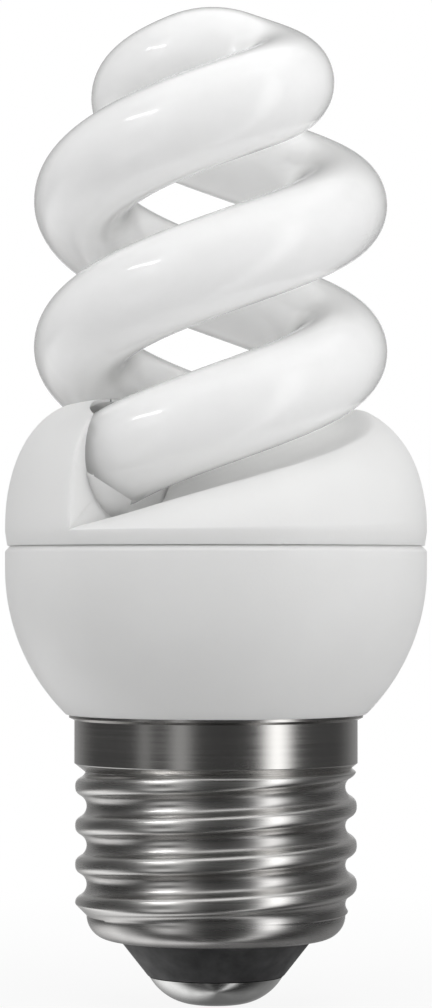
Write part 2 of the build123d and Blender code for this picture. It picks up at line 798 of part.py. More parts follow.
def tube_lead(index, place):
    """Lead from a tube's press to its post, with the turns wound on the post."""
    side = 1 - 2 * index
    start = press_plane(PRESS_L).from_local_coords((side * TUBE_LEAD_SPAN / 2, 0, 0))
    out = press_plane(PRESS_L).from_local_coords((side * TUBE_LEAD_SPAN / 2, 0, TUBE_LEAD_RUN))
    x, y = place
    hole_w = POST_W + 2 * CAP_CLEARANCE
    wrap_z = BOARD_TOP + POST_H - POST_WRAP_H
    turns = pin(x, y, wrap_z, wrap_z + POST_WRAP_H, hole_w + 2 * POST_WRAP_T)
    path = Polyline(start, out, (x, y, wrap_z + POST_WRAP_H / 2))
    return turns + wire_along(path, TUBE_LEAD_W) - pin(x, y, wrap_z, wrap_z + POST_WRAP_H, hole_w)


def numbered(name, shapes):
    """Name a row of like pieces name_1, name_2 and so on."""
    return {f"{name}_{number}": shape for number, shape in enumerate(shapes, 1)}


def lamp():
    """Every piece of the lamp by name."""
    posts = post_places()
    leads = [tube_lead(index, posts[index]) for index in range(len(POST_AZIMUTHS))]
    turned_leads = [Rot(0, 0, 180) * lead for lead in leads]
    pieces = {
        "discharge_tube": discharge_tube(),
        "tube_cover": tube_cover(),
        "ballast_housing": ballast_housing(),
        "screw_shell": screw_shell(),
        "cap_insulator": cap_insulator(),
        "centre_contact": centre_contact(),
        "circuit_board": circuit_board(),
        "bulk_capacitor": bulk_capacitor(),
        "choke_core_left": choke_core(-1),
        "choke_core_right": choke_core(1),
        "choke_bobbin": choke_bobbin(),
        "choke_winding": choke_winding(),
        "toroid_core": toroid_core(),
        "start_capacitor": film_capacitor(START_CAPACITOR_PLACE, START_CAPACITOR_SIZE),
        "coupling_capacitor": film_capacitor(COUPLING_CAPACITOR_PLACE, COUPLING_CAPACITOR_SIZE),
        "snubber_capacitor": snubber_capacitor(),
        "input_inductor": input_inductor(),
        "trigger_diac": axial_part(DIAC_AZIMUTHS[0], DIAC_D, DIAC_L),
        "fusible_resistor": fusible_resistor(),
        "live_wire": live_wire(),
        "neutral_wire": neutral_wire(),
    }
    pieces |= numbered("tube_cement", tube_cement())
    pieces |= numbered("toroid_winding", [toroid_winding(index) for index in range(TOROID_WINDINGS)])
    pieces |= numbered("switch_transistor", [switch_transistor(place) for place in TRANSISTOR_PLACES])
    pieces |= numbered("rectifier_diode", [axial_part(a, DIODE_D, DIODE_L) for a in DIODE_AZIMUTHS])
    pieces |= numbered("bias_resistor", [axial_part(a, RESISTOR_D, RESISTOR_L) for a in RESISTOR_AZIMUTHS])
    pieces |= numbered("wrap_post", [seated(wrap_post(place)) for place in posts])
    pieces |= numbered("tube_lead", [seated(lead) for lead in leads + turned_leads])
    return pieces


os.makedirs("parts", exist_ok=True)
for name, piece in lamp().items():
    export_step(piece, f"parts/{name}.step")
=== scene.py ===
import json
from math import acos, atan, atan2, cos, pi, radians, sin

import bmesh
import bpy
import numpy as np
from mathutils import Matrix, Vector


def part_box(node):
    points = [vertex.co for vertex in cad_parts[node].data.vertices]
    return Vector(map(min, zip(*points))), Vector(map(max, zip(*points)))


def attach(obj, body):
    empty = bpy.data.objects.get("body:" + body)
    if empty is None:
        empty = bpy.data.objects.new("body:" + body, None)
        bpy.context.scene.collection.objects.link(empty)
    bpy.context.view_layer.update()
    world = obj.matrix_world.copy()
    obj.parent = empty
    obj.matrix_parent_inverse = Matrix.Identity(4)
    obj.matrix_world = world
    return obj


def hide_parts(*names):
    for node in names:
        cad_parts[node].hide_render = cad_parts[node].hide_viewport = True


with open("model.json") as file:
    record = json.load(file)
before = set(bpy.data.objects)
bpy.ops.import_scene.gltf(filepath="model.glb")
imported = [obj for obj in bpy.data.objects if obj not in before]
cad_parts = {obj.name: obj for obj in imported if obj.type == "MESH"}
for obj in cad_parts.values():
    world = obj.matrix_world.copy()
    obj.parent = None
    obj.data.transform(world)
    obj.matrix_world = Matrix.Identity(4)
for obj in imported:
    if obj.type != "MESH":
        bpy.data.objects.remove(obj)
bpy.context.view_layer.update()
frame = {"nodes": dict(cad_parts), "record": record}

# Looks of a mini spiral lamp. Lengths here are millimetres, and meshes are put into Blender in metres.
# Azimuths are radians from +X towards +Y unless a name says degrees, and the front is at -90 degrees.
MM = 0.001


def node_box(name):
    """Lowest and highest corner of a CAD node, in millimetres."""
    low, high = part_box(name)
    return np.array(low) / MM, np.array(high) / MM


housing_low, housing_high = node_box("ballast_housing")
cover_low, cover_high = node_box("tube_cover")
shell_high = node_box("screw_shell")[1]
insulator_low, insulator_high = node_box("cap_insulator")
contact_high = node_box("centre_contact")[1]
tube_high = node_box("discharge_tube")[1]

# Places and radii read from the frame
BODY_R = housing_high[0]
SEAM_Z = housing_high[2]
NECK_Z = housing_low[2]
DOME_Z = cover_high[2]
SKIRT_Z = cover_low[2]
LIP_R = shell_high[0]
BOWL_Z = shell_high[2]
INSULATOR_Z = insulator_low[2]
CURL_Z = insulator_high[2]
CONTACT_R = contact_high[0]
EYELET_Z = contact_high[2]
TUBE_TOP_Z = tube_high[2]

# Discharge tube
TUBE_R = 4.7
HELIX_R = 11.8
TUBE_PITCH = 27.3
TUBE_TURN = radians(412.0)
TUBE_TAIL = radians(35.0)
CROWN_BEND_R = 6.3
PRESS_L = 4.0
PRESS_HALF_W = 4.0
PRESS_HALF_T = 1.3
SPIRAL_SHIFT = 0.5
GLASS_INSET = 0.2

# Tube cover
SOCKET_AZIMUTH = radians(-132.0)
SOCKET_H = 6.9
SOCKET_CLEARANCE = 0.8
SOCKET_DEPTH = radians(38.0)
MOUTH_CLEARANCE = 1.05
TROUGH_CLEARANCE = 1.25
TROUGH_PITCH = 25.0
TROUGH_SOFT = 0.45
RIM_H = 1.3
RIM_TUCK = 0.2
DOME_TOP_R = 11.75
RAMP_SWEEP = radians(150.0)
RAMP_RUNOUT = radians(10.0)
RAMP_START_H = 1.0
RAMP_LEAN = 3.0
RAMP_PROUD = 0.08
SKIRT_R = 18.1
SKIRT_T = 1.2
COVER_WALL = 1.3
EDGE_SOFT = 0.3
WALL_FADE = 1.2
RIM_Z = SEAM_Z + RIM_H
DOME_H = DOME_Z - RIM_Z
SOCKET_Z = RIM_Z + SOCKET_H
SOCKET_R = TUBE_R + SOCKET_CLEARANCE
MOUTH_R = TUBE_R + MOUTH_CLEARANCE
TROUGH_R = TUBE_R + TROUGH_CLEARANCE

# Lip and ring in a socket's mouth. Bearings go round the mouth from its outer side, and the lip's points are
# across from the helix, up from the socket's middle and ahead of the wall.
LIP_BEARINGS = radians(-16.0), radians(-85.0)
LIP_START = (5.6, -1.6, 0.0)
LIP_END = (1.4, -4.2, 1.55)
LIP_BOW = (0.45, 0.0, 0.4)
LIP_SINK = 0.15
LIP_BACK = 0.6
RING_BEARINGS = radians(-20.0), radians(-200.0)
RING_R = 3.6
RING_FRONT = 0.05
RING_T = 0.6

# Ballast housing
SEAM_CHAMFER = 0.5
SEAM_EASE = 0.15
BOWL_SIDE_H = 2.1
BOWL_OVERHANG = 0.25
FOOT_EASE = 0.25
HOUSING_WALL = 1.4
NECK_WALL = 1.3
NECK_CLEARANCE = 0.1
BOWL_FOOT_R = LIP_R + BOWL_OVERHANG

# Screw cap
SHELL_T = 0.35
THREAD_PITCH = 3.629
THREAD_CREST_R = 13.15
THREAD_ROOT_R = 12.05
THREAD_CREST_ARC = 0.95
THREAD_PHASE_H = 1.3
THREAD_FADE_H = 1.1
THREAD_SOFT = 0.15
COLLAR_R = 13.2
COLLAR_H = 4.9
COLLAR_TAPER_H = 0.9
LIP_H = 0.5
SHELL_EDGE_R = 9.1
INSULATOR_H = 3.6
INSULATOR_FOOT_R = 6.3
INSULATOR_EASE = 0.18
CONTACT_TIP_R = 1.75
EYELET_R = 1.5
EYELET_WALL = 0.6
EYELET_FLOOR = 1.2
CAP_CLEARANCE = 0.05
SHELL_Z = INSULATOR_Z + INSULATOR_H
COLLAR_Z = BOWL_Z - LIP_H - COLLAR_H

# How finely each form is divided
HELIX_POINTS = 400
TURN_IN_POINTS = 90
CROWN_POINTS = 20
TUBE_STEP = 0.45
TUBE_SIDES = 64
COVER_AZIMUTHS = 220
WALL_AZIMUTHS = 20
WALL_REACH = radians(3.0)
SLIT_AZIMUTHS = 30
SLIT_RADII = 2001
OUTER_POINTS = 84
OUTER_CROWDING = 1.7
RIM_STEPS = 5
TROUGH_POINTS = 28
SIDE_STEPS = 6
FLAT_STEPS = 7
WALL_POINTS = 4
MOUTH_POINTS = 40
BORE_POINTS = 24
LINING_POINTS = 73
LIP_POINTS = 17
RING_POINTS = 61
SKIRT_SIDES = 180
BOWL_POINTS = 60
BOWL_BORE_POINTS = 24
HOUSING_SIDES = 240
CURL_POINTS = 28
SHELL_HEIGHTS = 300
SHELL_SIDES = 216
CONTACT_POINTS = 28
CAP_SIDES = 160
EASE_POINTS = 4
EASE_SHARE = 0.45

TURN = 2 * pi
FAR = 1000.0
TINY = 1e-9
SHARP_ANGLE = radians(38.0)
WELD = 0.002 * MM


# Meshes from point grids


def quads_of(rows, columns, start):
    """Corner numbers of the quads between neighbours of a grid whose points are numbered from start."""
    number = start + np.arange(rows * columns).reshape(rows, columns)
    corners = (number[:-1, :-1], number[1:, :-1], number[1:, 1:], number[:-1, 1:])
    return np.stack(corners, axis=-1).reshape(-1, 4)


def piece_from_grids(name, grids, material, node):
    """Object made of (rows, columns, 3) point grids, welded where they meet, that stands for a CAD node."""
    counts = np.cumsum([0] + [grid.shape[0] * grid.shape[1] for grid in grids])
    points = np.concatenate([grid.reshape(-1, 3) for grid in grids]) * MM
    quads = np.concatenate([quads_of(*grid.shape[:2], start) for grid, start in zip(grids, counts)])
    mesh = bpy.data.meshes.new(name)
    mesh.from_pydata(points.tolist(), [], quads.tolist())
    work = bmesh.new()
    work.from_mesh(mesh)
    bmesh.ops.remove_doubles(work, verts=work.verts, dist=WELD)
    bmesh.ops.dissolve_degenerate(work, edges=work.edges, dist=WELD / 10)
    bmesh.ops.recalc_face_normals(work, faces=work.faces)
    work.to_mesh(mesh)
    work.free()
    mesh.polygons.foreach_set("use_smooth", np.ones(len(mesh.polygons), bool))
    mesh.set_sharp_from_angle(angle=SHARP_ANGLE)
    mesh.materials.append(material)
    piece = bpy.data.objects.new(name, mesh)
    bpy.context.scene.collection.objects.link(piece)
    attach(piece, "root")
    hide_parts(node)
    return piece


def spun(profile, steps):
    """Surface of revolution: each (radius, height) point of a profile carried round the lamp's axis."""
    azimuth = np.linspace(0, TURN, steps + 1)
    radius, height = np.array(profile).T
    x = np.outer(np.cos(azimuth), radius)
    y = np.outer(np.sin(azimuth), radius)
    return np.stack([x, y, np.broadcast_to(height, x.shape)], axis=-1)


def arc(centre, radius, start_degrees, end_degrees, steps):
    """Points of a circular arc in the (radius, height) plane."""
    angle = np.radians(np.linspace(start_degrees, end_degrees, steps))
    return np.stack([centre[0] + radius * np.cos(angle), centre[1] + radius * np.sin(angle)], axis=-1)


def eased(corners, radius):
    """Run of corners with each inner corner rounded: a quadratic curve from one side to the other.

    The curve starts and ends at the given distance from the corner, or at a share of a shorter side.
    """
    corners = np.array(corners, float)
    before, here, after = corners[:-2], corners[1:-1], corners[2:]

    def toward(other):
        span = np.linalg.norm(other - here, axis=1, keepdims=True)
        return here + (other - here) / span * np.minimum(radius, EASE_SHARE * span)

    share = np.linspace(0, 1, EASE_POINTS)[None, :, None]
    start, end, middle = toward(before)[:, None], toward(after)[:, None], here[:, None]
    curve = (1 - share) ** 2 * start + 2 * share * (1 - share) * middle + share**2 * end
    return np.concatenate([corners[:1], curve.reshape(-1, 2), corners[-1:]])


def soft_min(a, b, width):
    """Smaller of two heights, with the edge between them rounded over a width."""
    share = np.clip(0.5 + 0.5 * (b - a) / width, 0, 1)
    return b + (a - b) * share - width * share * (1 - share)


# Helix that the tube and its sockets share


def tube_slope():
    """Slope of the tube's helix."""
    return atan(TUBE_PITCH / (TURN * HELIX_R))


def tube_level(azimuth):
    """Height of the tube's helix at an azimuth from the socket wall."""
    return SOCKET_Z + TUBE_PITCH * azimuth / TURN


def half_height(radius):
    """Half height of a round bar along the tube's helix, cut by a radial plane."""
    return radius / cos(tube_slope())


def around(azimuth, radius, height):
    """Points at azimuths counted from the socket wall."""
    angle = SOCKET_AZIMUTH + azimuth
    return np.stack([radius * np.cos(angle), radius * np.sin(angle), height], axis=-1)


# Discharge tube


def arm_points():
    """Centre line of one arm: a helix, a tighter one that turns in to the axis, then an arc that levels out.

    The helix has a fixed radius, and its height grows by a pitch a turn from the socket wall.
    """
    slope = tube_slope()
    helix_r = HELIX_R + GLASS_INSET
    run_in = CROWN_BEND_R * sin(slope)
    turn_r = (helix_r - run_in**2 / helix_r) / 2
    offset = helix_r - turn_r
    turn = pi - acos(turn_r / offset)
    leave = SOCKET_AZIMUTH + TUBE_TURN
    azimuth = np.linspace(-TUBE_TAIL, TUBE_TURN, HELIX_POINTS)
    helix = around(azimuth, np.full_like(azimuth, helix_r), tube_level(azimuth))
    angle = np.linspace(0, turn, TURN_IN_POINTS)[1:]
    inward = np.stack(
        [
            offset * cos(leave) + turn_r * np.cos(leave + angle),
            offset * sin(leave) + turn_r * np.sin(leave + angle),
            helix[-1, 2] + TUBE_PITCH * turn_r / HELIX_R * angle / TURN,
        ],
        axis=-1,
    )
    tilt = np.linspace(slope, 0, CROWN_POINTS)[1:]
    out = inward[-1, :2] / np.linalg.norm(inward[-1, :2])
    top = inward[-1, 2] + CROWN_BEND_R * (1 - cos(slope))
    level = np.outer(CROWN_BEND_R * np.sin(tilt), out)
    crown = np.column_stack([level, top - CROWN_BEND_R * (1 - np.cos(tilt))])
    return np.concatenate([helix, inward, crown])


def even_points(points, step):
    """Points at even steps along a line."""
    length = np.concatenate([[0], np.cumsum(np.linalg.norm(np.diff(points, axis=0), axis=1))])
    along = np.linspace(0, length[-1], int(length[-1] / step) + 1)
    return np.column_stack([np.interp(along, length, points[:, k]) for k in range(3)])


def tube_grid():
    """Tube round both arms: a circle across the centre line, flattened to an ellipse over each press.

    Across the line, one half axis is level and the other at right angles to it and to the line. The circle
    lies inside the solid's section and touches it at its top and on its outer side.
    """
    glass_r = TUBE_R - GLASS_INSET
    arm = arm_points()
    ahead = arm[0] - arm[1]
    press = arm[0] + PRESS_L * ahead / np.linalg.norm(ahead)
    arm = np.concatenate([[press], arm])
    other = arm[::-1] * (-1, -1, 1)
    line = even_points(np.concatenate([arm, other[1:]]), TUBE_STEP)
    along = np.arange(len(line)) * TUBE_STEP
    to_end = np.minimum(along, along[-1] - along)
    tangent = np.gradient(line, axis=0)
    tangent /= np.linalg.norm(tangent, axis=1, keepdims=True)
    level = np.cross((0, 0, 1), tangent)
    level /= np.linalg.norm(level, axis=1, keepdims=True)
    upright = np.cross(tangent, level)
    half_w = np.interp(to_end, (0, PRESS_L), (PRESS_HALF_W, glass_r))
    half_t = np.interp(to_end, (0, PRESS_L), (PRESS_HALF_T, glass_r))
    angle = np.linspace(0, TURN, TUBE_SIDES + 1)
    wide = half_w[:, None, None] * np.cos(angle)[None, :, None] * level[:, None]
    thick = half_t[:, None, None] * np.sin(angle)[None, :, None] * upright[:, None]
    skin = line[:, None] + wide + thick
    ends = [np.broadcast_to(line[k], (1, TUBE_SIDES + 1, 3)) for k in (0, -1)]
    lift = TUBE_TOP_Z - skin[..., 2].max()
    return np.concatenate([ends[0], skin, ends[1]]) + (-SPIRAL_SHIFT, 0, lift)


# Tube cover


def dome_height(radius):
    """Height of the full dome: a quadratic curve from the rim to the flat top."""
    share = np.sqrt(np.clip((BODY_R - radius) / (BODY_R - DOME_TOP_R), 0, 1))
    return RIM_Z + DOME_H * share * (2 - share)


def ramp_height(azimuth, radius):
    """Height of the ramp: the dome's curve, lower and leaning in towards the socket wall.

    Its height share grows with azimuth. The curve's parameter comes from the radius by a quadratic equation.
    """
    start = RAMP_START_H / DOME_H
    share = start + (1 - start) * azimuth / RAMP_SWEEP
    lean = RAMP_LEAN * np.clip(1 - share, 0, 1)
    rim_r = BODY_R + RAMP_PROUD
    bow = rim_r - DOME_TOP_R - 2 * lean
    along = (np.sqrt(lean**2 + bow * np.clip(rim_r - radius, 0, None)) - lean) / bow
    top = RIM_Z + DOME_H * share
    height = RIM_Z * (1 - along) ** 2 + top * along * (2 - along)
    off = (radius < DOME_TOP_R) | (azimuth > RAMP_SWEEP + RAMP_RUNOUT)
    return np.where(off, FAR, height)


def trough_height(azimuth, radius):
    """Height of the trough: half an ellipse across, rising along a helix."""
    across = (radius - HELIX_R) / TROUGH_R
    level = SOCKET_Z + TROUGH_PITCH * azimuth / TURN
    inside = np.sqrt(np.clip(1 - across**2, 0, 1))
    return np.where(np.abs(across) > 1, FAR, level - half_height(TROUGH_R) * inside)


def cover_height(azimuth, radius):
    """Height of the cover's top: lowest of dome, ramp and trough, with soft edges between them."""
    top = soft_min(dome_height(radius), ramp_height(azimuth, radius), EDGE_SOFT)
    return soft_min(top, trough_height(azimuth, radius), TROUGH_SOFT)


def mouth_depth():
    """Azimuth behind its wall at which the socket's mouth is wholly under the dome."""
    return (SOCKET_Z + half_height(MOUTH_R) - DOME_Z) * TURN / TUBE_PITCH


def slit_edges(back):
    """Inner and outer radius of the slit where a mouth breaks through the dome, by azimuth behind its wall.

    The slit is open at the radii where the top of the mouth's ellipse is above the dome.
    It closes on the helix.
    """
    across = np.linspace(-1, 1, SLIT_RADII)[None]
    radius = HELIX_R + MOUTH_R * across
    top = tube_level(-back) + half_height(MOUTH_R) * np.sqrt(1 - across**2)
    edge = np.where(top > dome_height(radius), radius, HELIX_R)
    return edge.min(axis=1, keepdims=True), edge.max(axis=1, keepdims=True)


def wall_azimuths():
    """Azimuths from one socket wall to the next, closer together by both walls and at the slit's tip."""
    near = WALL_REACH * np.linspace(0, 1, WALL_AZIMUTHS) ** 2
    slit = mouth_depth() * (1 - np.linspace(0, 1, SLIT_AZIMUTHS) ** 2)
    return np.unique(np.concatenate([np.linspace(0, pi, COVER_AZIMUTHS), near, pi - near, pi - slit]))


def outer_section(azimuth):
    """Radii and heights from the seam up the rim and over the ramp to the trough's middle, or to the slit.

    The rim leans in a little towards the seam, so that light gets to the edge below it.
    """
    inner = slit_edges(pi - azimuth)[1]
    radius = BODY_R - (BODY_R - inner) * np.linspace(0, 1, OUTER_POINTS)[None] ** OUTER_CROWDING
    height = cover_height(azimuth, radius)
    rise = np.linspace(0, 1, RIM_STEPS + 1)[None, :-1]
    side = SEAM_Z + (height[:, :1] - SEAM_Z) * rise
    wall = BODY_R - RIM_TUCK * (1 - rise) * np.ones_like(side)
    return np.concatenate([wall, radius], axis=1), np.concatenate([side, height], axis=1)


def inner_section(azimuth):
    """Radii and heights from the trough's middle, or from the slit, up the inner side and in to the axis."""
    start = np.arcsin((slit_edges(pi - azimuth)[0] - HELIX_R) / TROUGH_R)
    turn = start + (-pi / 2 - start) * np.linspace(0, 1, TROUGH_POINTS)[None]
    radius = HELIX_R + TROUGH_R * np.sin(turn)
    height = np.minimum(cover_height(azimuth, radius), DOME_Z)
    foot = height[:, -1:]
    up = foot + (DOME_Z - foot) * np.linspace(0, 1, SIDE_STEPS + 1)[None, 1:]
    flat = np.linspace(HELIX_R - TROUGH_R, 0, FLAT_STEPS + 1)[None, 1:] * np.ones_like(azimuth)
    side = np.full_like(up, HELIX_R - TROUGH_R)
    return (
        np.concatenate([radius, side, flat], axis=1),
        np.concatenate([height, up, np.full_like(flat, DOME_Z)], axis=1),
    )


def eased_to_wall(azimuth, radius, height):
    """Section pulled in along its normal near the next socket wall, so that the wall's edge is round.

    The pull is a quarter circle towards the wall, and fades out at the rim and at the slit.
    """
    gap = np.clip((pi - azimuth) * radius, 0, EDGE_SOFT)
    pull = EDGE_SOFT - np.sqrt(EDGE_SOFT**2 - (EDGE_SOFT - gap) ** 2)
    pull = pull * np.clip((height - RIM_Z) / WALL_FADE, 0, 1)
    pull = pull * np.clip((radius - radius[:, -1:]) / WALL_FADE, 0, 1)
    run = np.gradient(radius, axis=1)
    rise = np.gradient(height, axis=1)
    length = np.hypot(run, rise) + TINY
    return radius - pull * rise / length, height + pull * run / length


def socket_wall(outline):
    """Face of a socket wall: straight rays from the mouth's rim out to each point of the wall's outline."""
    across, up = (outline - (HELIX_R, SOCKET_Z)).T
    bearing = np.arctan2(up, across)
    near = 1 / np.hypot(np.cos(bearing) / MOUTH_R, np.sin(bearing) / half_height(MOUTH_R))
    far = np.hypot(across, up)
    span = near + (far - near) * np.linspace(0, 1, WALL_POINTS)[:, None]
    return around(0.0, HELIX_R + span * np.cos(bearing), SOCKET_Z + span * np.sin(bearing))


def socket_lining():
    """Inside of a socket: an ellipse in each radial plane along the tube's helix, wider in the mouth.

    Each ellipse runs from the slit's outer edge down and round to the slit's inner edge.
    """
    mouth = np.linspace(0, mouth_depth(), MOUTH_POINTS)
    bore = np.linspace(mouth_depth(), SOCKET_DEPTH, BORE_POINTS)
    back = np.concatenate([mouth, bore])[:, None]
    wide = np.concatenate([np.full_like(mouth, MOUTH_R), np.full_like(bore, SOCKET_R)])[:, None]
    inner, outer = slit_edges(back)
    start = np.arccos((outer - HELIX_R) / wide)
    end = np.arccos((inner - HELIX_R) / wide) - TURN
    angle = start + (end - start) * np.linspace(0, 1, LINING_POINTS)[None]
    height = tube_level(-back) + half_height(wide) * np.sin(angle)
    skin = around(-back * np.ones_like(angle), HELIX_R + wide * np.cos(angle), height)
    floor = np.broadcast_to(skin[-1:].mean(axis=1, keepdims=True), skin[-1:].shape)
    return np.concatenate([skin, floor])


def socket_lip():
    """Lip in the lower outer part of a mouth: a wedge from the rim to a bowed edge in front of the glass."""
    share = np.linspace(0, 1, LIP_POINTS)[:, None]
    bearing = LIP_BEARINGS[0] + (LIP_BEARINGS[1] - LIP_BEARINGS[0]) * share
    across = (MOUTH_R + LIP_SINK) * np.cos(bearing)
    up = (half_height(MOUTH_R) + LIP_SINK) * np.sin(bearing)
    rim = np.concatenate([across, up, np.full_like(up, -LIP_SINK)], axis=1)
    bow = 4 * share * (1 - share) * np.array(LIP_BOW)
    edge = LIP_START + np.subtract(LIP_END, LIP_START) * share + bow
    back = np.concatenate([edge[:, :2], np.full_like(up, -LIP_BACK)], axis=1)
    skin = np.stack([rim, edge, back, rim], axis=1)
    ends = [np.broadcast_to(skin[k, :3].mean(axis=0), (1, 4, 3)) for k in (0, -1)]
    across, up, ahead = np.moveaxis(np.concatenate([ends[0], skin, ends[1]]), -1, 0)
    return around(ahead / (HELIX_R + across), HELIX_R + across, SOCKET_Z + up)


def mouth_ring():
    """Lower part of a ring that closes the mouth round the glass: a rectangle carried round an ellipse."""
    bearing = np.linspace(*RING_BEARINGS, RING_POINTS)[:, None]
    out_r = MOUTH_R + LIP_SINK
    radius = np.array([out_r, RING_R, RING_R, out_r, out_r])
    ahead = -RING_FRONT - RING_T * np.array([0, 0, 1, 1, 0])
    azimuth = ahead / HELIX_R * np.ones_like(bearing)
    height = tube_level(azimuth) + half_height(radius) * np.sin(bearing)
    skin = around(azimuth, HELIX_R + radius * np.cos(bearing), height)
    ends = [np.broadcast_to(skin[k, :4].mean(axis=0), (1, 5, 3)) for k in (0, -1)]
    return np.concatenate([ends[0], skin, ends[1]])


def skirt_profile():
    """Underside of the cover from the seam down round the skirt and in to the axis."""
    ceiling = SOCKET_Z - half_height(TROUGH_R) - COVER_WALL
    inner = SKIRT_R - SKIRT_T
    return [
        (BODY_R - RIM_TUCK, SEAM_Z),
        (SKIRT_R, SEAM_Z),
        (SKIRT_R, SKIRT_Z),
        (inner, SKIRT_Z),
        (inner, ceiling),
        (0, ceiling),
    ]


def cover_grids():
    """Grids of the whole cover: two like halves with their walls, linings, lips and rings, and the skirt.

    A wall's outline runs from the slit out over the dome to the rim, back in along the ramp and the trough's
    bottom, up the trough's inner side, and over to the slit again.
    """
    azimuth = wall_azimuths()[:, None]
    sections = [eased_to_wall(azimuth, *outer_section(azimuth)), inner_section(azimuth)]
    tops = [around(azimuth * np.ones_like(radius), radius, height) for radius, height in sections]
    outer, inner = (np.stack(section, axis=-1) for section in sections)
    high = outer[-1, RIM_STEPS:][::-1]
    outline = np.concatenate([high, outer[0, RIM_STEPS:], inner[0, :-FLAT_STEPS], inner[-1, :1]])
    half = tops + [socket_wall(outline), socket_lining(), socket_lip(), mouth_ring()]
    return half + [grid * (-1, -1, 1) for grid in half] + [spun(skirt_profile(), SKIRT_SIDES)]


# Ballast housing and screw cap


def bowl_arc_r():
    """Radius of the bowl's outer arc, upright at its top and through the foot."""
    out = BODY_R - BOWL_FOOT_R
    drop = SEAM_Z - BOWL_SIDE_H - BOWL_Z
    return (out**2 + drop**2) / (2 * out)


def housing_profile():
    """Closed section of the housing: seam, bowl outside, foot, neck, neck bore and bowl inside."""
    side_z = SEAM_Z - BOWL_SIDE_H
    radius = bowl_arc_r()
    centre = (BODY_R - radius, side_z)
    foot = -np.degrees(acos((BOWL_FOOT_R - centre[0]) / radius))
    bowl = arc(centre, radius, 0, foot, BOWL_POINTS)
    wall_r = radius - HOUSING_WALL
    floor_z = BOWL_Z + HOUSING_WALL
    floor = -np.degrees(np.arcsin((side_z - floor_z) / wall_r))
    inside = arc(centre, wall_r, floor, 0, BOWL_BORE_POINTS)
    bore_r = THREAD_ROOT_R - SHELL_T - NECK_CLEARANCE
    wide_r = COLLAR_R - SHELL_T - NECK_CLEARANCE
    taper_z = COLLAR_Z + NECK_CLEARANCE
    seam = [
        (BODY_R - HOUSING_WALL, SEAM_Z),
        (BODY_R - SEAM_CHAMFER, SEAM_Z),
        (BODY_R, SEAM_Z - SEAM_CHAMFER),
        (BODY_R, side_z),
    ]
    foot_edge = [bowl[-2], (BOWL_FOOT_R, BOWL_Z), (wide_r, BOWL_Z)]
    neck = [
        (wide_r, taper_z + COLLAR_TAPER_H),
        (bore_r, taper_z),
        (bore_r, NECK_Z),
        (bore_r - NECK_WALL, NECK_Z),
        (bore_r - NECK_WALL, floor_z),
    ]
    edge = [(BODY_R - HOUSING_WALL, SEAM_Z)]
    foot_run = eased(foot_edge, FOOT_EASE)
    return np.concatenate([eased(seam, SEAM_EASE), bowl[1:-1], foot_run, neck, inside, edge])


def curl_arc():
    """Bottom edge of the shell: an arc from the insulator round and up, upright at the thread's root."""
    out = THREAD_ROOT_R - SHELL_EDGE_R
    rise = CURL_Z - SHELL_Z
    radius = (out**2 + rise**2) / (2 * out)
    start = np.degrees(atan2(-rise, radius - out))
    return arc((THREAD_ROOT_R - radius, CURL_Z), radius, start, 0, CURL_POINTS)


def thread_r(azimuth, height):
    """Radius of the E27 thread up a right-hand helix: a crest arc and a wider root arc that meet tangent."""
    half = THREAD_PITCH / 2
    depth = THREAD_CREST_R - THREAD_ROOT_R
    both_arcs = (half**2 + depth**2) / (2 * depth)
    root_arc = both_arcs - THREAD_CREST_ARC
    turns = (height - SHELL_Z - THREAD_PHASE_H) / THREAD_PITCH - azimuth / TURN
    away = np.abs(turns - np.round(turns)) * THREAD_PITCH
    crest = THREAD_CREST_R - THREAD_CREST_ARC + np.sqrt(np.clip(THREAD_CREST_ARC**2 - away**2, 0, None))
    root = THREAD_ROOT_R + root_arc - np.sqrt(np.clip(root_arc**2 - (half - away) ** 2, 0, None))
    return np.where(away < half * THREAD_CREST_ARC / both_arcs, crest, root)


def thread_limit(height):
    """Largest radius of the thread: it rises out of the shell above the curl and sinks in at the collar."""
    places = (CURL_Z, CURL_Z + THREAD_FADE_H, COLLAR_Z, COLLAR_Z + COLLAR_TAPER_H)
    return np.interp(height, places, (THREAD_ROOT_R, THREAD_CREST_R, THREAD_CREST_R, THREAD_ROOT_R))


def collar_r(height):
    """Radius of the plain collar and the lip above it, and nothing below its taper."""
    lip = BOWL_Z - LIP_H
    taper = (COLLAR_Z - COLLAR_TAPER_H, COLLAR_Z, COLLAR_Z + COLLAR_TAPER_H)
    places = (*taper, lip, lip + LIP_H / 2, BOWL_Z)
    radii = (0, THREAD_ROOT_R, COLLAR_R, COLLAR_R, LIP_R, LIP_R)
    return np.interp(height, places, radii)


def shell_outside():
    """Outer face of the screw shell: the curl, then the larger of thread and collar by height and azimuth."""
    curl = curl_arc()
    height = np.linspace(CURL_Z, BOWL_Z, SHELL_HEIGHTS)[None, 1:]
    azimuth = np.linspace(0, TURN, SHELL_SIDES + 1)[:, None]
    ridge = soft_min(thread_r(azimuth, height), thread_limit(height), THREAD_SOFT)
    side = -soft_min(-np.maximum(ridge, THREAD_ROOT_R), -collar_r(height), THREAD_SOFT)
    radius = np.concatenate([curl[:, 0] * np.ones_like(azimuth), side], axis=1)
    level = np.concatenate([curl[:, 1] * np.ones_like(azimuth), height * np.ones_like(azimuth)], axis=1)
    return np.stack([radius * np.cos(azimuth), radius * np.sin(azimuth), level], axis=-1)


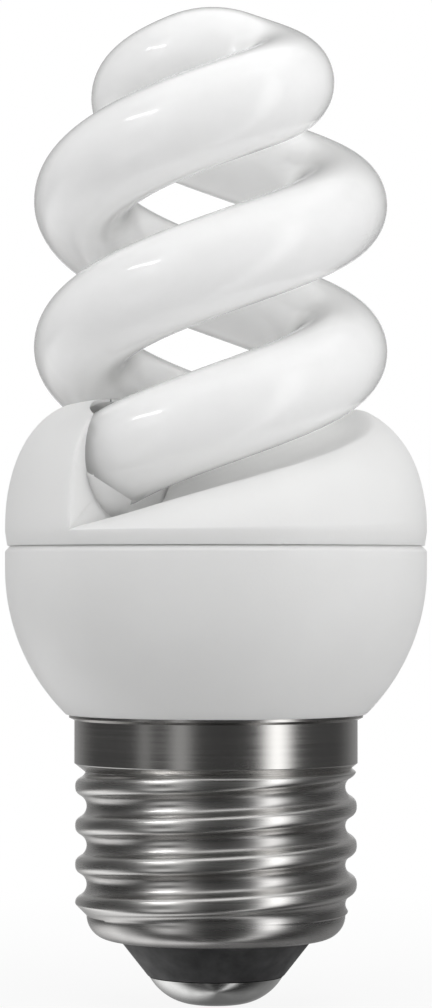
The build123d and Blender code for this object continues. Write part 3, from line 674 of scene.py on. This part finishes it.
def shell_grids():
    """Grids of the screw shell: outer face, then the plain bore and the edges that join them."""
    outside = shell_outside()
    bore_r = THREAD_ROOT_R - SHELL_T
    wide_r = COLLAR_R - SHELL_T
    mouth_r = SHELL_EDGE_R - SHELL_T
    inside = [
        (wide_r, BOWL_Z),
        (wide_r, COLLAR_Z + COLLAR_TAPER_H),
        (bore_r, COLLAR_Z),
        (bore_r, CURL_Z),
        (mouth_r, SHELL_Z + SHELL_T),
        (mouth_r, SHELL_Z),
    ]
    bore = spun(inside, SHELL_SIDES)
    top = np.stack([outside[:, -1], bore[:, 0]], axis=1)
    bottom = np.stack([bore[:, -1], outside[:, 0]], axis=1)
    return [outside, top, bore, bottom]


def insulator_profile():
    """Closed section of the insulator: a cone below the shell and the plug that fills the shell's curl."""
    hole_r = EYELET_R + CAP_CLEARANCE
    rim_z = SHELL_Z - CAP_CLEARANCE
    plug_r = SHELL_EDGE_R - SHELL_T - CAP_CLEARANCE
    top_r = THREAD_ROOT_R - SHELL_T - CAP_CLEARANCE
    outside = [
        (hole_r, INSULATOR_Z),
        (INSULATOR_FOOT_R, INSULATOR_Z),
        (SHELL_EDGE_R, rim_z),
        (plug_r, rim_z),
    ]
    plug = [(plug_r, SHELL_Z + SHELL_T), (top_r, CURL_Z), (hole_r, CURL_Z), (hole_r, INSULATOR_Z)]
    return np.concatenate([eased(outside, INSULATOR_EASE), plug])


def contact_profile():
    """Closed section of the contact: flat tip, an arc that leaves it level, top face and hollow eyelet."""
    top = INSULATOR_Z - CAP_CLEARANCE
    radius = ((CONTACT_R - CONTACT_TIP_R) ** 2 + top**2) / (2 * top)
    sweep = np.degrees(acos((radius - top) / radius))
    dome = arc((CONTACT_TIP_R, radius), radius, -90, sweep - 90, CONTACT_POINTS)
    tip = [(0, 0), (CONTACT_TIP_R / 2, 0)]
    rest = [
        (EYELET_R, top),
        (EYELET_R, EYELET_Z),
        (EYELET_R - EYELET_WALL, EYELET_Z),
        (EYELET_R - EYELET_WALL, EYELET_FLOOR),
        (0, EYELET_FLOOR),
    ]
    return np.concatenate([tip, dome, rest])


# Shader node helpers


def new_group(name, inputs, outputs):
    """Empty shader node group with named value inputs and named outputs, and its two end nodes."""
    group = bpy.data.node_groups.new(name, "ShaderNodeTree")
    for label, value in inputs.items():
        socket = group.interface.new_socket(name=label, in_out="INPUT", socket_type="NodeSocketFloat")
        socket.default_value = value
    for label in outputs:
        group.interface.new_socket(name=label, in_out="OUTPUT", socket_type="NodeSocketFloat")
    return group, group.nodes.new("NodeGroupInput"), group.nodes.new("NodeGroupOutput")


def add(tree, kind, values=(), **settings):
    """New node with settings, and values for its input sockets by name or number."""
    node = tree.nodes.new(kind)
    for label, value in settings.items():
        setattr(node, label, value)
    for label, value in dict(values).items():
        node.inputs[label].default_value = value
    return node


def join(tree, output, *sockets):
    """Link one output socket to input sockets."""
    for socket in sockets:
        tree.links.new(output, socket)


def cloudy_group():
    """Slow, uneven tone over a surface: broad noise with a share of finer noise, from 0 to 1."""
    group, start, end = new_group("cloudy_tone", {"Scale": 60.0, "Detail": 3.0}, ["Tone"])
    place = add(group, "ShaderNodeTexCoord")
    noise = add(group, "ShaderNodeTexNoise", {"Roughness": 0.55})
    spread = add(group, "ShaderNodeMapRange", {"From Min": 0.32, "From Max": 0.68})
    join(group, place.outputs["Object"], noise.inputs["Vector"])
    join(group, start.outputs["Scale"], noise.inputs["Scale"])
    join(group, start.outputs["Detail"], noise.inputs["Detail"])
    join(group, noise.outputs["Fac"], spread.inputs["Value"])
    join(group, spread.outputs["Result"], end.inputs["Tone"])
    return group


def turned_group():
    """Fine lines round the lamp's axis, as rolling and spinning leave on sheet metal, from 0 to 1."""
    group, start, end = new_group("turned_lines", {"Round": 40.0, "Along": 4000.0}, ["Line"])
    place = add(group, "ShaderNodeTexCoord")
    split = add(group, "ShaderNodeSeparateXYZ")
    gather = add(group, "ShaderNodeCombineXYZ")
    noise = add(group, "ShaderNodeTexNoise", {"Scale": 1.0, "Detail": 4.0, "Roughness": 0.6})
    join(group, place.outputs["Object"], split.inputs["Vector"])
    for axis, factor in (("X", "Round"), ("Y", "Round"), ("Z", "Along")):
        scaled = add(group, "ShaderNodeMath", operation="MULTIPLY")
        join(group, split.outputs[axis], scaled.inputs[0])
        join(group, start.outputs[factor], scaled.inputs[1])
        join(group, scaled.outputs["Value"], gather.inputs[axis])
    join(group, gather.outputs["Vector"], noise.inputs["Vector"])
    join(group, noise.outputs["Fac"], end.inputs["Line"])
    return group


def height_group():
    """Share of the way between two heights on the lamp's axis, from 0 below Low to 1 above High."""
    group, start, end = new_group("height_share", {"Low": 0.0, "High": 0.01}, ["Share"])
    place = add(group, "ShaderNodeTexCoord")
    split = add(group, "ShaderNodeSeparateXYZ")
    spread = add(group, "ShaderNodeMapRange")
    join(group, place.outputs["Object"], split.inputs["Vector"])
    join(group, split.outputs["Z"], spread.inputs["Value"])
    join(group, start.outputs["Low"], spread.inputs["From Min"])
    join(group, start.outputs["High"], spread.inputs["From Max"])
    join(group, spread.outputs["Result"], end.inputs["Share"])
    return group


def radius_group():
    """Share of the way between two distances from the lamp's axis, from 0 inside Low to 1 outside High."""
    group, start, end = new_group("radius_share", {"Low": 0.0, "High": 0.01}, ["Share"])
    place = add(group, "ShaderNodeTexCoord")
    flat = add(group, "ShaderNodeVectorMath", {1: (1, 1, 0)}, operation="MULTIPLY")
    length = add(group, "ShaderNodeVectorMath", operation="LENGTH")
    spread = add(group, "ShaderNodeMapRange")
    join(group, place.outputs["Object"], flat.inputs[0])
    join(group, flat.outputs["Vector"], length.inputs[0])
    join(group, length.outputs["Value"], spread.inputs["Value"])
    join(group, start.outputs["Low"], spread.inputs["From Min"])
    join(group, start.outputs["High"], spread.inputs["From Max"])
    join(group, spread.outputs["Result"], end.inputs["Share"])
    return group


CLOUDY = cloudy_group()
TURNED = turned_group()
HEIGHT = height_group()
RADIUS = radius_group()


def use_group(tree, group, **values):
    """Node of a group with its own values."""
    node = add(tree, "ShaderNodeGroup", node_tree=group)
    for label, value in values.items():
        node.inputs[label].default_value = value
    return node


def new_finish(name, **constants):
    """Material with a Principled shader whose constant sockets are set directly."""
    material = bpy.data.materials.new(name)
    material.use_nodes = True
    tree = material.node_tree
    shader = tree.nodes["Principled BSDF"]
    for label, value in constants.items():
        shader.inputs[label.replace("_", " ")].default_value = value
    return material, tree, shader


def blend_colour(tree, factor, first, second):
    """Colour between two colours or colour outputs by a factor output."""
    mix = add(tree, "ShaderNodeMix", data_type="RGBA")
    join(tree, factor, mix.inputs["Factor"])
    for label, value in (("A", first), ("B", second)):
        socket = [s for s in mix.inputs if s.name == label and s.type == "RGBA"][0]
        if isinstance(value, bpy.types.NodeSocket):
            join(tree, value, socket)
        else:
            socket.default_value = (*value, 1)
    return [s for s in mix.outputs if s.type == "RGBA"][0]


def spread_value(tree, factor, low, high):
    """Value from low to high as a factor output goes from 0 to 1."""
    spread = add(tree, "ShaderNodeMapRange", {"To Min": low, "To Max": high})
    join(tree, factor, spread.inputs["Value"])
    return spread.outputs["Result"]


def bump(tree, shader, height, distance, strength):
    """Bump of a height output on a shader's normal."""
    node = add(tree, "ShaderNodeBump", {"Strength": strength, "Distance": distance})
    join(tree, height, node.inputs["Height"])
    join(tree, node.outputs["Normal"], shader.inputs["Normal"])


def one_value(tree, operation, value):
    """Function of one output, such as its size without sign."""
    node = add(tree, "ShaderNodeMath", operation=operation)
    join(tree, value, node.inputs[0])
    return node.outputs["Value"]


def two_values(tree, operation, first, second):
    """Sum, product or the like of two outputs, or of an output and a number."""
    node = add(tree, "ShaderNodeMath", operation=operation)
    join(tree, first, node.inputs[0])
    if isinstance(second, float):
        node.inputs[1].default_value = second
    else:
        join(tree, second, node.inputs[1])
    return node.outputs["Value"]


def angle_step(tree, angle, start, end, low, high):
    """Value that goes smoothly from low to high as an angle goes from start to end, both in degrees."""
    values = {"From Min": radians(start), "From Max": radians(end), "To Min": low, "To Max": high}
    step = add(tree, "ShaderNodeMapRange", values, interpolation_type="SMOOTHSTEP")
    join(tree, angle, step.inputs["Value"])
    return step.outputs["Result"]


# Finishes of the pieces that show


def tube_finish():
    """Glossy glass over a white coating that is a little uneven and greyer where the tube enters the cover.

    Seen edge on, the colour is painted greyer: painted shade standing in for the clear wall outside the
    coating.
    """
    material, tree, shader = new_finish(
        "coated_glass",
        Coat_Weight=0.45,
        Coat_Roughness=0.03,
        IOR=1.5,
        Specular_IOR_Level=0.3,
        Subsurface_Weight=1.0,
        Subsurface_Radius=(1, 1, 1),
        Subsurface_Scale=7 * MM,
    )
    tone = use_group(tree, CLOUDY, Scale=170.0, Detail=3.0)
    low = use_group(tree, HEIGHT, Low=(SOCKET_Z - TUBE_R) * MM, High=(SOCKET_Z + TUBE_R) * MM)
    even = blend_colour(tree, tone.outputs["Tone"], (0.92, 0.92, 0.915), (0.95, 0.95, 0.945))
    colour = blend_colour(tree, low.outputs["Share"], (0.9, 0.9, 0.895), even)
    # Painted shade: the base colour greys where the surface is seen edge on
    facing = add(tree, "ShaderNodeLayerWeight", {"Blend": 0.5})
    edge = add(tree, "ShaderNodeMapRange", {"From Min": 0.6, "From Max": 0.95})
    join(tree, facing.outputs["Facing"], edge.inputs["Value"])
    painted_edge_shade = blend_colour(tree, edge.outputs["Result"], colour, (0.6, 0.6, 0.6))
    join(tree, painted_edge_shade, shader.inputs["Base Color"])
    join(tree, spread_value(tree, tone.outputs["Tone"], 0.16, 0.1), shader.inputs["Roughness"])
    wave = use_group(tree, CLOUDY, Scale=260.0, Detail=1.0)
    bump(tree, shader, wave.outputs["Tone"], distance=0.02 * MM, strength=0.25)
    return material


def plastic_finish():
    """Satin white moulding with a fine grain and a slightly uneven sheen."""
    material, tree, shader = new_finish(
        "satin_moulding",
        IOR=1.48,
        Subsurface_Weight=0.5,
        Subsurface_Radius=(1, 1, 1),
        Subsurface_Scale=2 * MM,
    )
    tone = use_group(tree, CLOUDY, Scale=90.0, Detail=2.0)
    grain = use_group(tree, CLOUDY, Scale=3500.0, Detail=2.0)
    colour = blend_colour(tree, tone.outputs["Tone"], (0.83, 0.83, 0.825), (0.86, 0.86, 0.855))
    join(tree, colour, shader.inputs["Base Color"])
    join(tree, spread_value(tree, tone.outputs["Tone"], 0.42, 0.34), shader.inputs["Roughness"])
    bump(tree, shader, grain.outputs["Tone"], distance=0.008 * MM, strength=0.35)
    return material


def plated_finish():
    """Nickel plate with rolling lines round it, and duller roots between the thread's crests, painted darker
    as painted shade.
    """
    material, tree, shader = new_finish("nickel_plate", Metallic=1.0)
    line = use_group(tree, TURNED, Round=60.0, Along=5200.0)
    tone = use_group(tree, CLOUDY, Scale=220.0, Detail=4.0)
    crest = use_group(tree, RADIUS, Low=THREAD_ROOT_R * MM, High=THREAD_CREST_R * MM)
    collar = use_group(tree, HEIGHT, Low=COLLAR_Z * MM, High=(COLLAR_Z + COLLAR_TAPER_H) * MM)
    plain = blend_colour(tree, line.outputs["Line"], (0.5, 0.49, 0.48), (0.66, 0.65, 0.63))
    rolled = blend_colour(tree, line.outputs["Line"], (0.68, 0.67, 0.66), (0.82, 0.81, 0.79))
    # Painted shade: the roots between the thread's crests get a darker colour than the crests
    painted_shade_in_roots = blend_colour(tree, tone.outputs["Tone"], (0.5, 0.49, 0.48), (0.64, 0.63, 0.62))
    thread = blend_colour(tree, crest.outputs["Share"], painted_shade_in_roots, rolled)
    join(tree, blend_colour(tree, collar.outputs["Share"], thread, plain), shader.inputs["Base Color"])
    rough = spread_value(tree, line.outputs["Line"], 0.16, 0.3)
    dulled = spread_value(tree, collar.outputs["Share"], 0.05, 0.0)
    join(tree, two_values(tree, "ADD", rough, dulled), shader.inputs["Roughness"])
    bump(tree, shader, line.outputs["Line"], distance=0.012 * MM, strength=0.3)
    return material


def insulator_finish():
    """Charcoal moulding, matt and a little uneven in tone."""
    material, tree, shader = new_finish("charcoal_insulator", IOR=1.5, Specular_IOR_Level=0.3)
    tone = use_group(tree, CLOUDY, Scale=500.0, Detail=5.0)
    colour = blend_colour(tree, tone.outputs["Tone"], (0.03, 0.03, 0.031), (0.06, 0.06, 0.061))
    join(tree, colour, shader.inputs["Base Color"])
    join(tree, spread_value(tree, tone.outputs["Tone"], 0.5, 0.36), shader.inputs["Roughness"])
    bump(tree, shader, tone.outputs["Tone"], distance=0.02 * MM, strength=0.4)
    return material


def contact_finish():
    """Tinned contact with soft blotches and fine turned lines."""
    material, tree, shader = new_finish("tinned_contact", Metallic=1.0)
    tone = use_group(tree, CLOUDY, Scale=320.0, Detail=4.0)
    line = use_group(tree, TURNED, Round=300.0, Along=900.0)
    colour = blend_colour(tree, tone.outputs["Tone"], (0.62, 0.62, 0.61), (0.78, 0.78, 0.77))
    join(tree, colour, shader.inputs["Base Color"])
    join(tree, spread_value(tree, tone.outputs["Tone"], 0.24, 0.14), shader.inputs["Roughness"])
    bump(tree, shader, line.outputs["Line"], distance=0.02 * MM, strength=0.3)
    return material


# Colour in the dark spots of the ballast's parts, as a share, and how far their roughness goes up and down
INNER_DARK = 0.8
INNER_DULLER = 0.08
INNER_SHINIER = 0.06


def inner_finish(slot, colour, metallic, rough):
    """Plain part of the ballast: its colour a little uneven, and its gloss with it."""
    material, tree, shader = new_finish(slot, Metallic=metallic)
    tone = use_group(tree, CLOUDY, Scale=400.0, Detail=3.0)
    dark = [INNER_DARK * value for value in colour]
    join(tree, blend_colour(tree, tone.outputs["Tone"], dark, colour), shader.inputs["Base Color"])
    gloss = spread_value(tree, tone.outputs["Tone"], rough + INNER_DULLER, rough - INNER_SHINIER)
    join(tree, gloss, shader.inputs["Roughness"])
    return material


# Stage


# Floor: half its side, its grey, the distances from the axis between which its shadow fades, and how white
# the camera sees it up to the first of them
FLOOR_HALF = 1500.0
FLOOR_GREY = 0.7
SHADOW_NEAR = 20.0
SHADOW_FAR = 120.0
SHADOW_WHITE = 0.9

# Light from all round: its level, how much it grows to both sides, and how much to the back and upwards
AMBIENT = 0.11
AMBIENT_SIDES = (1.2, 0.0, 0.0)
AMBIENT_LEAN = (0.0, 0.25, 0.3)

# Surroundings that gloss reflects, by degrees from the front and degrees of rise. A strip or a glow has an
# azimuth, a half width and a brightness, and a glow then has limits of rise. A limit is two angles and the
# level at each.
STUDIO_DARK = 0.06
BACK_GREY = 0.32
BACK_LIMIT = (112, 160, STUDIO_DARK, BACK_GREY)
OVERHEAD_LIMIT = (42, 62, 0.0, 0.9)
LOW_LIMIT = (-40, -8, 0.5, 1.0)
STRIPS = ((50.5, 9.5, 2.1), (-28.5, 7.0, 0.45), (-59.5, 5.0, 0.26))
STRIP_LIMIT = (30, 55, 1.0, 0.15)
PATCH_SIDE_LIMIT = (164, 174, 0.0, 1.0 - BACK_GREY)
PATCH_RISE_LIMIT = (6, 16, 1.0, 0.0)
GLOWS = (
    (-124.0, 27.0, 1.0, (-24, -10, 1.0, 0.0)),
    (130.0, 22.0, 0.13, (-24, -10, 1.0, 0.0)),
    (-46.0, 10.0, 0.9, (-48, -34, 0.0, 1.0), (-20, -10, 1.0, 0.0)),
    (-47.0, 10.0, 1.5, (8, 18, 0.0, 1.0), (44, 58, 1.0, 0.0)),
)

# Lamps: place, aim and size in millimetres, power in watts, and whether gloss shows the lamp
LAMPS = {
    "key_lamp": ((-330, -205, 330), (0, 0, 60), (170, 28), 0.18, True),
    "top_lamp": ((40, -260, 430), (0, 0, 50), (300, 200), 0.32, False),
    "through_lamp": ((40, -260, 430), (0, 0, 50), (300, 200), 0.46, False),
    "side_lamp": ((390, -310, 80), (0, 0, 50), (120, 300), 0.5, False),
}

# Camera: the photo's frame is 432 by 1008 pixels, 10.72 pixels to a millimetre at the lamp's axis
PHOTO_H = 1008
PHOTO_SCALE = 10.72
CAMERA_D = 340.0
CAMERA_Z = 39.9
AIM_Z = 46.5
SENSOR_H = 24.0
CLIP_NEAR = 10.0


def seen_directly(tree):
    """1 for what the camera sees straight or through glass, else 0, and the node that tells them apart."""
    ray = add(tree, "ShaderNodeLightPath")
    seen = two_values(tree, "MAXIMUM", ray.outputs["Is Camera Ray"], ray.outputs["Is Transmission Ray"])
    return seen, ray


def pale_floor():
    """Pale floor that the camera sees as white, with a faint shadow left on it near the lamp."""
    half = FLOOR_HALF * MM
    corners = [(-half, -half, 0), (half, -half, 0), (half, half, 0), (-half, half, 0)]
    mesh = bpy.data.meshes.new("floor")
    mesh.from_pydata(corners, [], [(0, 1, 2, 3)])
    floor = bpy.data.objects.new("floor", mesh)
    bpy.context.scene.collection.objects.link(floor)
    floor.visible_glossy = False
    grey = (FLOOR_GREY, FLOOR_GREY, FLOOR_GREY, 1)
    material, tree, shader = new_finish("pale_floor", Base_Color=grey, Roughness=0.9)
    white = add(tree, "ShaderNodeEmission", {"Color": (1, 1, 1, 1), "Strength": 1.0})
    away = use_group(tree, RADIUS, Low=SHADOW_NEAR * MM, High=SHADOW_FAR * MM)
    shadow = spread_value(tree, away.outputs["Share"], SHADOW_WHITE, 1.0)
    mix = add(tree, "ShaderNodeMixShader")
    join(tree, two_values(tree, "MULTIPLY", shadow, seen_directly(tree)[0]), mix.inputs[0])
    join(tree, shader.outputs["BSDF"], mix.inputs[1])
    join(tree, white.outputs["Emission"], mix.inputs[2])
    join(tree, mix.outputs["Shader"], tree.nodes["Material Output"].inputs["Surface"])
    mesh.materials.append(material)


def studio_world():
    """White behind the lamp for the camera, soft light from all round, and a studio for gloss to reflect."""
    world = bpy.data.worlds.new("studio")
    bpy.context.scene.world = world
    world.use_nodes = True
    tree = world.node_tree
    place = add(tree, "ShaderNodeTexCoord")
    lean = add(tree, "ShaderNodeVectorMath", {1: AMBIENT_LEAN}, operation="DOT_PRODUCT")
    square = add(tree, "ShaderNodeVectorMath", operation="MULTIPLY")
    sides = add(tree, "ShaderNodeVectorMath", {1: AMBIENT_SIDES}, operation="DOT_PRODUCT")
    join(tree, place.outputs["Generated"], lean.inputs[0], square.inputs[0], square.inputs[1])
    join(tree, square.outputs["Vector"], sides.inputs[0])
    level = two_values(tree, "ADD", lean.outputs["Value"], sides.outputs["Value"])
    light = tree.nodes["Background"]
    join(tree, two_values(tree, "ADD", level, AMBIENT), light.inputs["Color"])
    seen, ray = seen_directly(tree)
    white = add(tree, "ShaderNodeBackground", {"Color": (1, 1, 1, 1), "Strength": 1.0})
    behind = add(tree, "ShaderNodeMixShader")
    join(tree, seen, behind.inputs[0])
    join(tree, light.outputs["Background"], behind.inputs[1])
    join(tree, white.outputs["Background"], behind.inputs[2])
    mirror = add(tree, "ShaderNodeBackground", {"Strength": 1.0})
    join(tree, reflected_studio(tree, place.outputs["Generated"]), mirror.inputs["Color"])
    glossy = add(tree, "ShaderNodeMixShader")
    join(tree, ray.outputs["Is Glossy Ray"], glossy.inputs[0])
    join(tree, behind.outputs["Shader"], glossy.inputs[1])
    join(tree, mirror.outputs["Background"], glossy.inputs[2])
    join(tree, glossy.outputs["Shader"], tree.nodes["World Output"].inputs["Surface"])


def reflected_studio(tree, direction):
    """Grey level by direction: dark to the front with soft strips and glows, grey behind, bright overhead.

    The white that the camera sees is a patch straight behind the lamp.
    """
    split = add(tree, "ShaderNodeSeparateXYZ")
    join(tree, direction, split.inputs["Vector"])
    ahead = two_values(tree, "MULTIPLY", split.outputs["Y"], -1.0)
    turn = two_values(tree, "ARCTAN2", split.outputs["X"], ahead)
    side = one_value(tree, "ABSOLUTE", turn)
    rise = one_value(tree, "ARCSINE", split.outputs["Z"])
    slant = one_value(tree, "ABSOLUTE", rise)
    level = angle_step(tree, side, *BACK_LIMIT)
    for azimuth, half, bright in STRIPS:
        away = one_value(tree, "ABSOLUTE", two_values(tree, "SUBTRACT", turn, radians(azimuth)))
        strip = angle_step(tree, away, 0, 2 * half, bright, 0.0)
        strip = two_values(tree, "MULTIPLY", strip, angle_step(tree, rise, *STRIP_LIMIT))
        level = two_values(tree, "ADD", level, strip)
    level = two_values(tree, "MULTIPLY", level, angle_step(tree, rise, *LOW_LIMIT))
    for azimuth, half, bright, *limits in GLOWS:
        away = one_value(tree, "ABSOLUTE", two_values(tree, "SUBTRACT", turn, radians(azimuth)))
        glow = angle_step(tree, away, 0, 2 * half, bright, 0.0)
        for limit in limits:
            glow = two_values(tree, "MULTIPLY", glow, angle_step(tree, rise, *limit))
        level = two_values(tree, "ADD", level, glow)
    level = two_values(tree, "ADD", level, angle_step(tree, rise, *OVERHEAD_LIMIT))
    patch_side = angle_step(tree, side, *PATCH_SIDE_LIMIT)
    patch_rise = angle_step(tree, slant, *PATCH_RISE_LIMIT)
    return two_values(tree, "ADD", level, two_values(tree, "MULTIPLY", patch_side, patch_rise))


def area_lamp(name, place, aim, size, power, in_gloss):
    """Rectangular soft lamp at a place, facing a point."""
    data = bpy.data.lights.new(name, "AREA")
    data.shape = "RECTANGLE"
    data.size, data.size_y = (value * MM for value in size)
    data.energy = power
    lamp = bpy.data.objects.new(name, data)
    bpy.context.scene.collection.objects.link(lamp)
    lamp.location = Vector(place) * MM
    lamp.rotation_euler = (Vector(aim) - Vector(place)).to_track_quat("-Z", "Y").to_euler()
    lamp.visible_glossy = in_gloss
    return lamp


def shine_through(lamp, piece):
    """Let a lamp's light through a piece, as thin coated glass lets it through to what is under it."""
    blockers = bpy.data.collections.new(lamp.name + "_blockers")
    blockers.objects.link(piece)
    blockers.collection_objects[0].light_linking.link_state = "EXCLUDE"
    lamp.light_linking.blocker_collection = blockers


def photo_camera():
    """Camera level with the lower housing, looking slightly up at the frame's middle."""
    data = bpy.data.cameras.new("photo_camera")
    data.sensor_fit = "VERTICAL"
    data.sensor_height = SENSOR_H
    data.lens = SENSOR_H * CAMERA_D / (PHOTO_H / PHOTO_SCALE)
    data.clip_start = CLIP_NEAR * MM
    camera = bpy.data.objects.new("photo_camera", data)
    bpy.context.scene.collection.objects.link(camera)
    place = Vector((0, -CAMERA_D, CAMERA_Z))
    camera.location = place * MM
    camera.rotation_euler = (Vector((0, 0, AIM_Z)) - place).to_track_quat("-Z", "Y").to_euler()
    bpy.context.scene.camera = camera


# Build

plastic = plastic_finish()
tube = piece_from_grids("spiral_tube", [tube_grid()], tube_finish(), "discharge_tube")
piece_from_grids("ramped_cover", cover_grids(), plastic, "tube_cover")
bowl = spun(housing_profile(), HOUSING_SIDES)
piece_from_grids("bowl_housing", [bowl], plastic, "ballast_housing")
piece_from_grids("threaded_shell", shell_grids(), plated_finish(), "screw_shell")
cone = spun(insulator_profile(), CAP_SIDES)
piece_from_grids("insulator_cone", [cone], insulator_finish(), "cap_insulator")
dome = spun(contact_profile(), CAP_SIDES)
piece_from_grids("contact_dome", [dome], contact_finish(), "centre_contact")

# Colour, metal share and roughness of the ballast's parts, by the record's slot
INNER = {
    "white_cement": ((0.8, 0.78, 0.73), 0.0, 0.8),
    "board_laminate": ((0.42, 0.28, 0.12), 0.0, 0.5),
    "capacitor_sleeve": ((0.05, 0.06, 0.08), 0.0, 0.25),
    "ferrite": ((0.07, 0.07, 0.075), 0.0, 0.6),
    "bobbin_plastic": ((0.09, 0.09, 0.09), 0.0, 0.45),
    "copper_winding": ((0.75, 0.36, 0.16), 1.0, 0.3),
    "film_coating": ((0.5, 0.1, 0.05), 0.0, 0.3),
    "ceramic_disc": ((0.55, 0.33, 0.1), 0.0, 0.4),
    "black_sleeve": ((0.05, 0.05, 0.05), 0.0, 0.45),
    "black_moulding": ((0.06, 0.06, 0.06), 0.0, 0.5),
    "part_glass": ((0.16, 0.28, 0.45), 0.0, 0.2),
    "resistor_body": ((0.62, 0.5, 0.33), 0.0, 0.45),
    "tinned_wire": ((0.72, 0.72, 0.71), 1.0, 0.3),
}
finishes = {slot: inner_finish(slot, *values) for slot, values in INNER.items()}
for part in frame["record"]["subparts"]:
    if part["material_slot"] in finishes:
        mesh = frame["nodes"][part["node"]].data
        mesh.materials.clear()
        mesh.materials.append(finishes[part["material_slot"]])

pale_floor()
studio_world()
lamps = {name: area_lamp(name, *values) for name, values in LAMPS.items()}
shine_through(lamps["through_lamp"], tube)
photo_camera()
bpy.context.scene.view_settings.view_transform = "Standard"
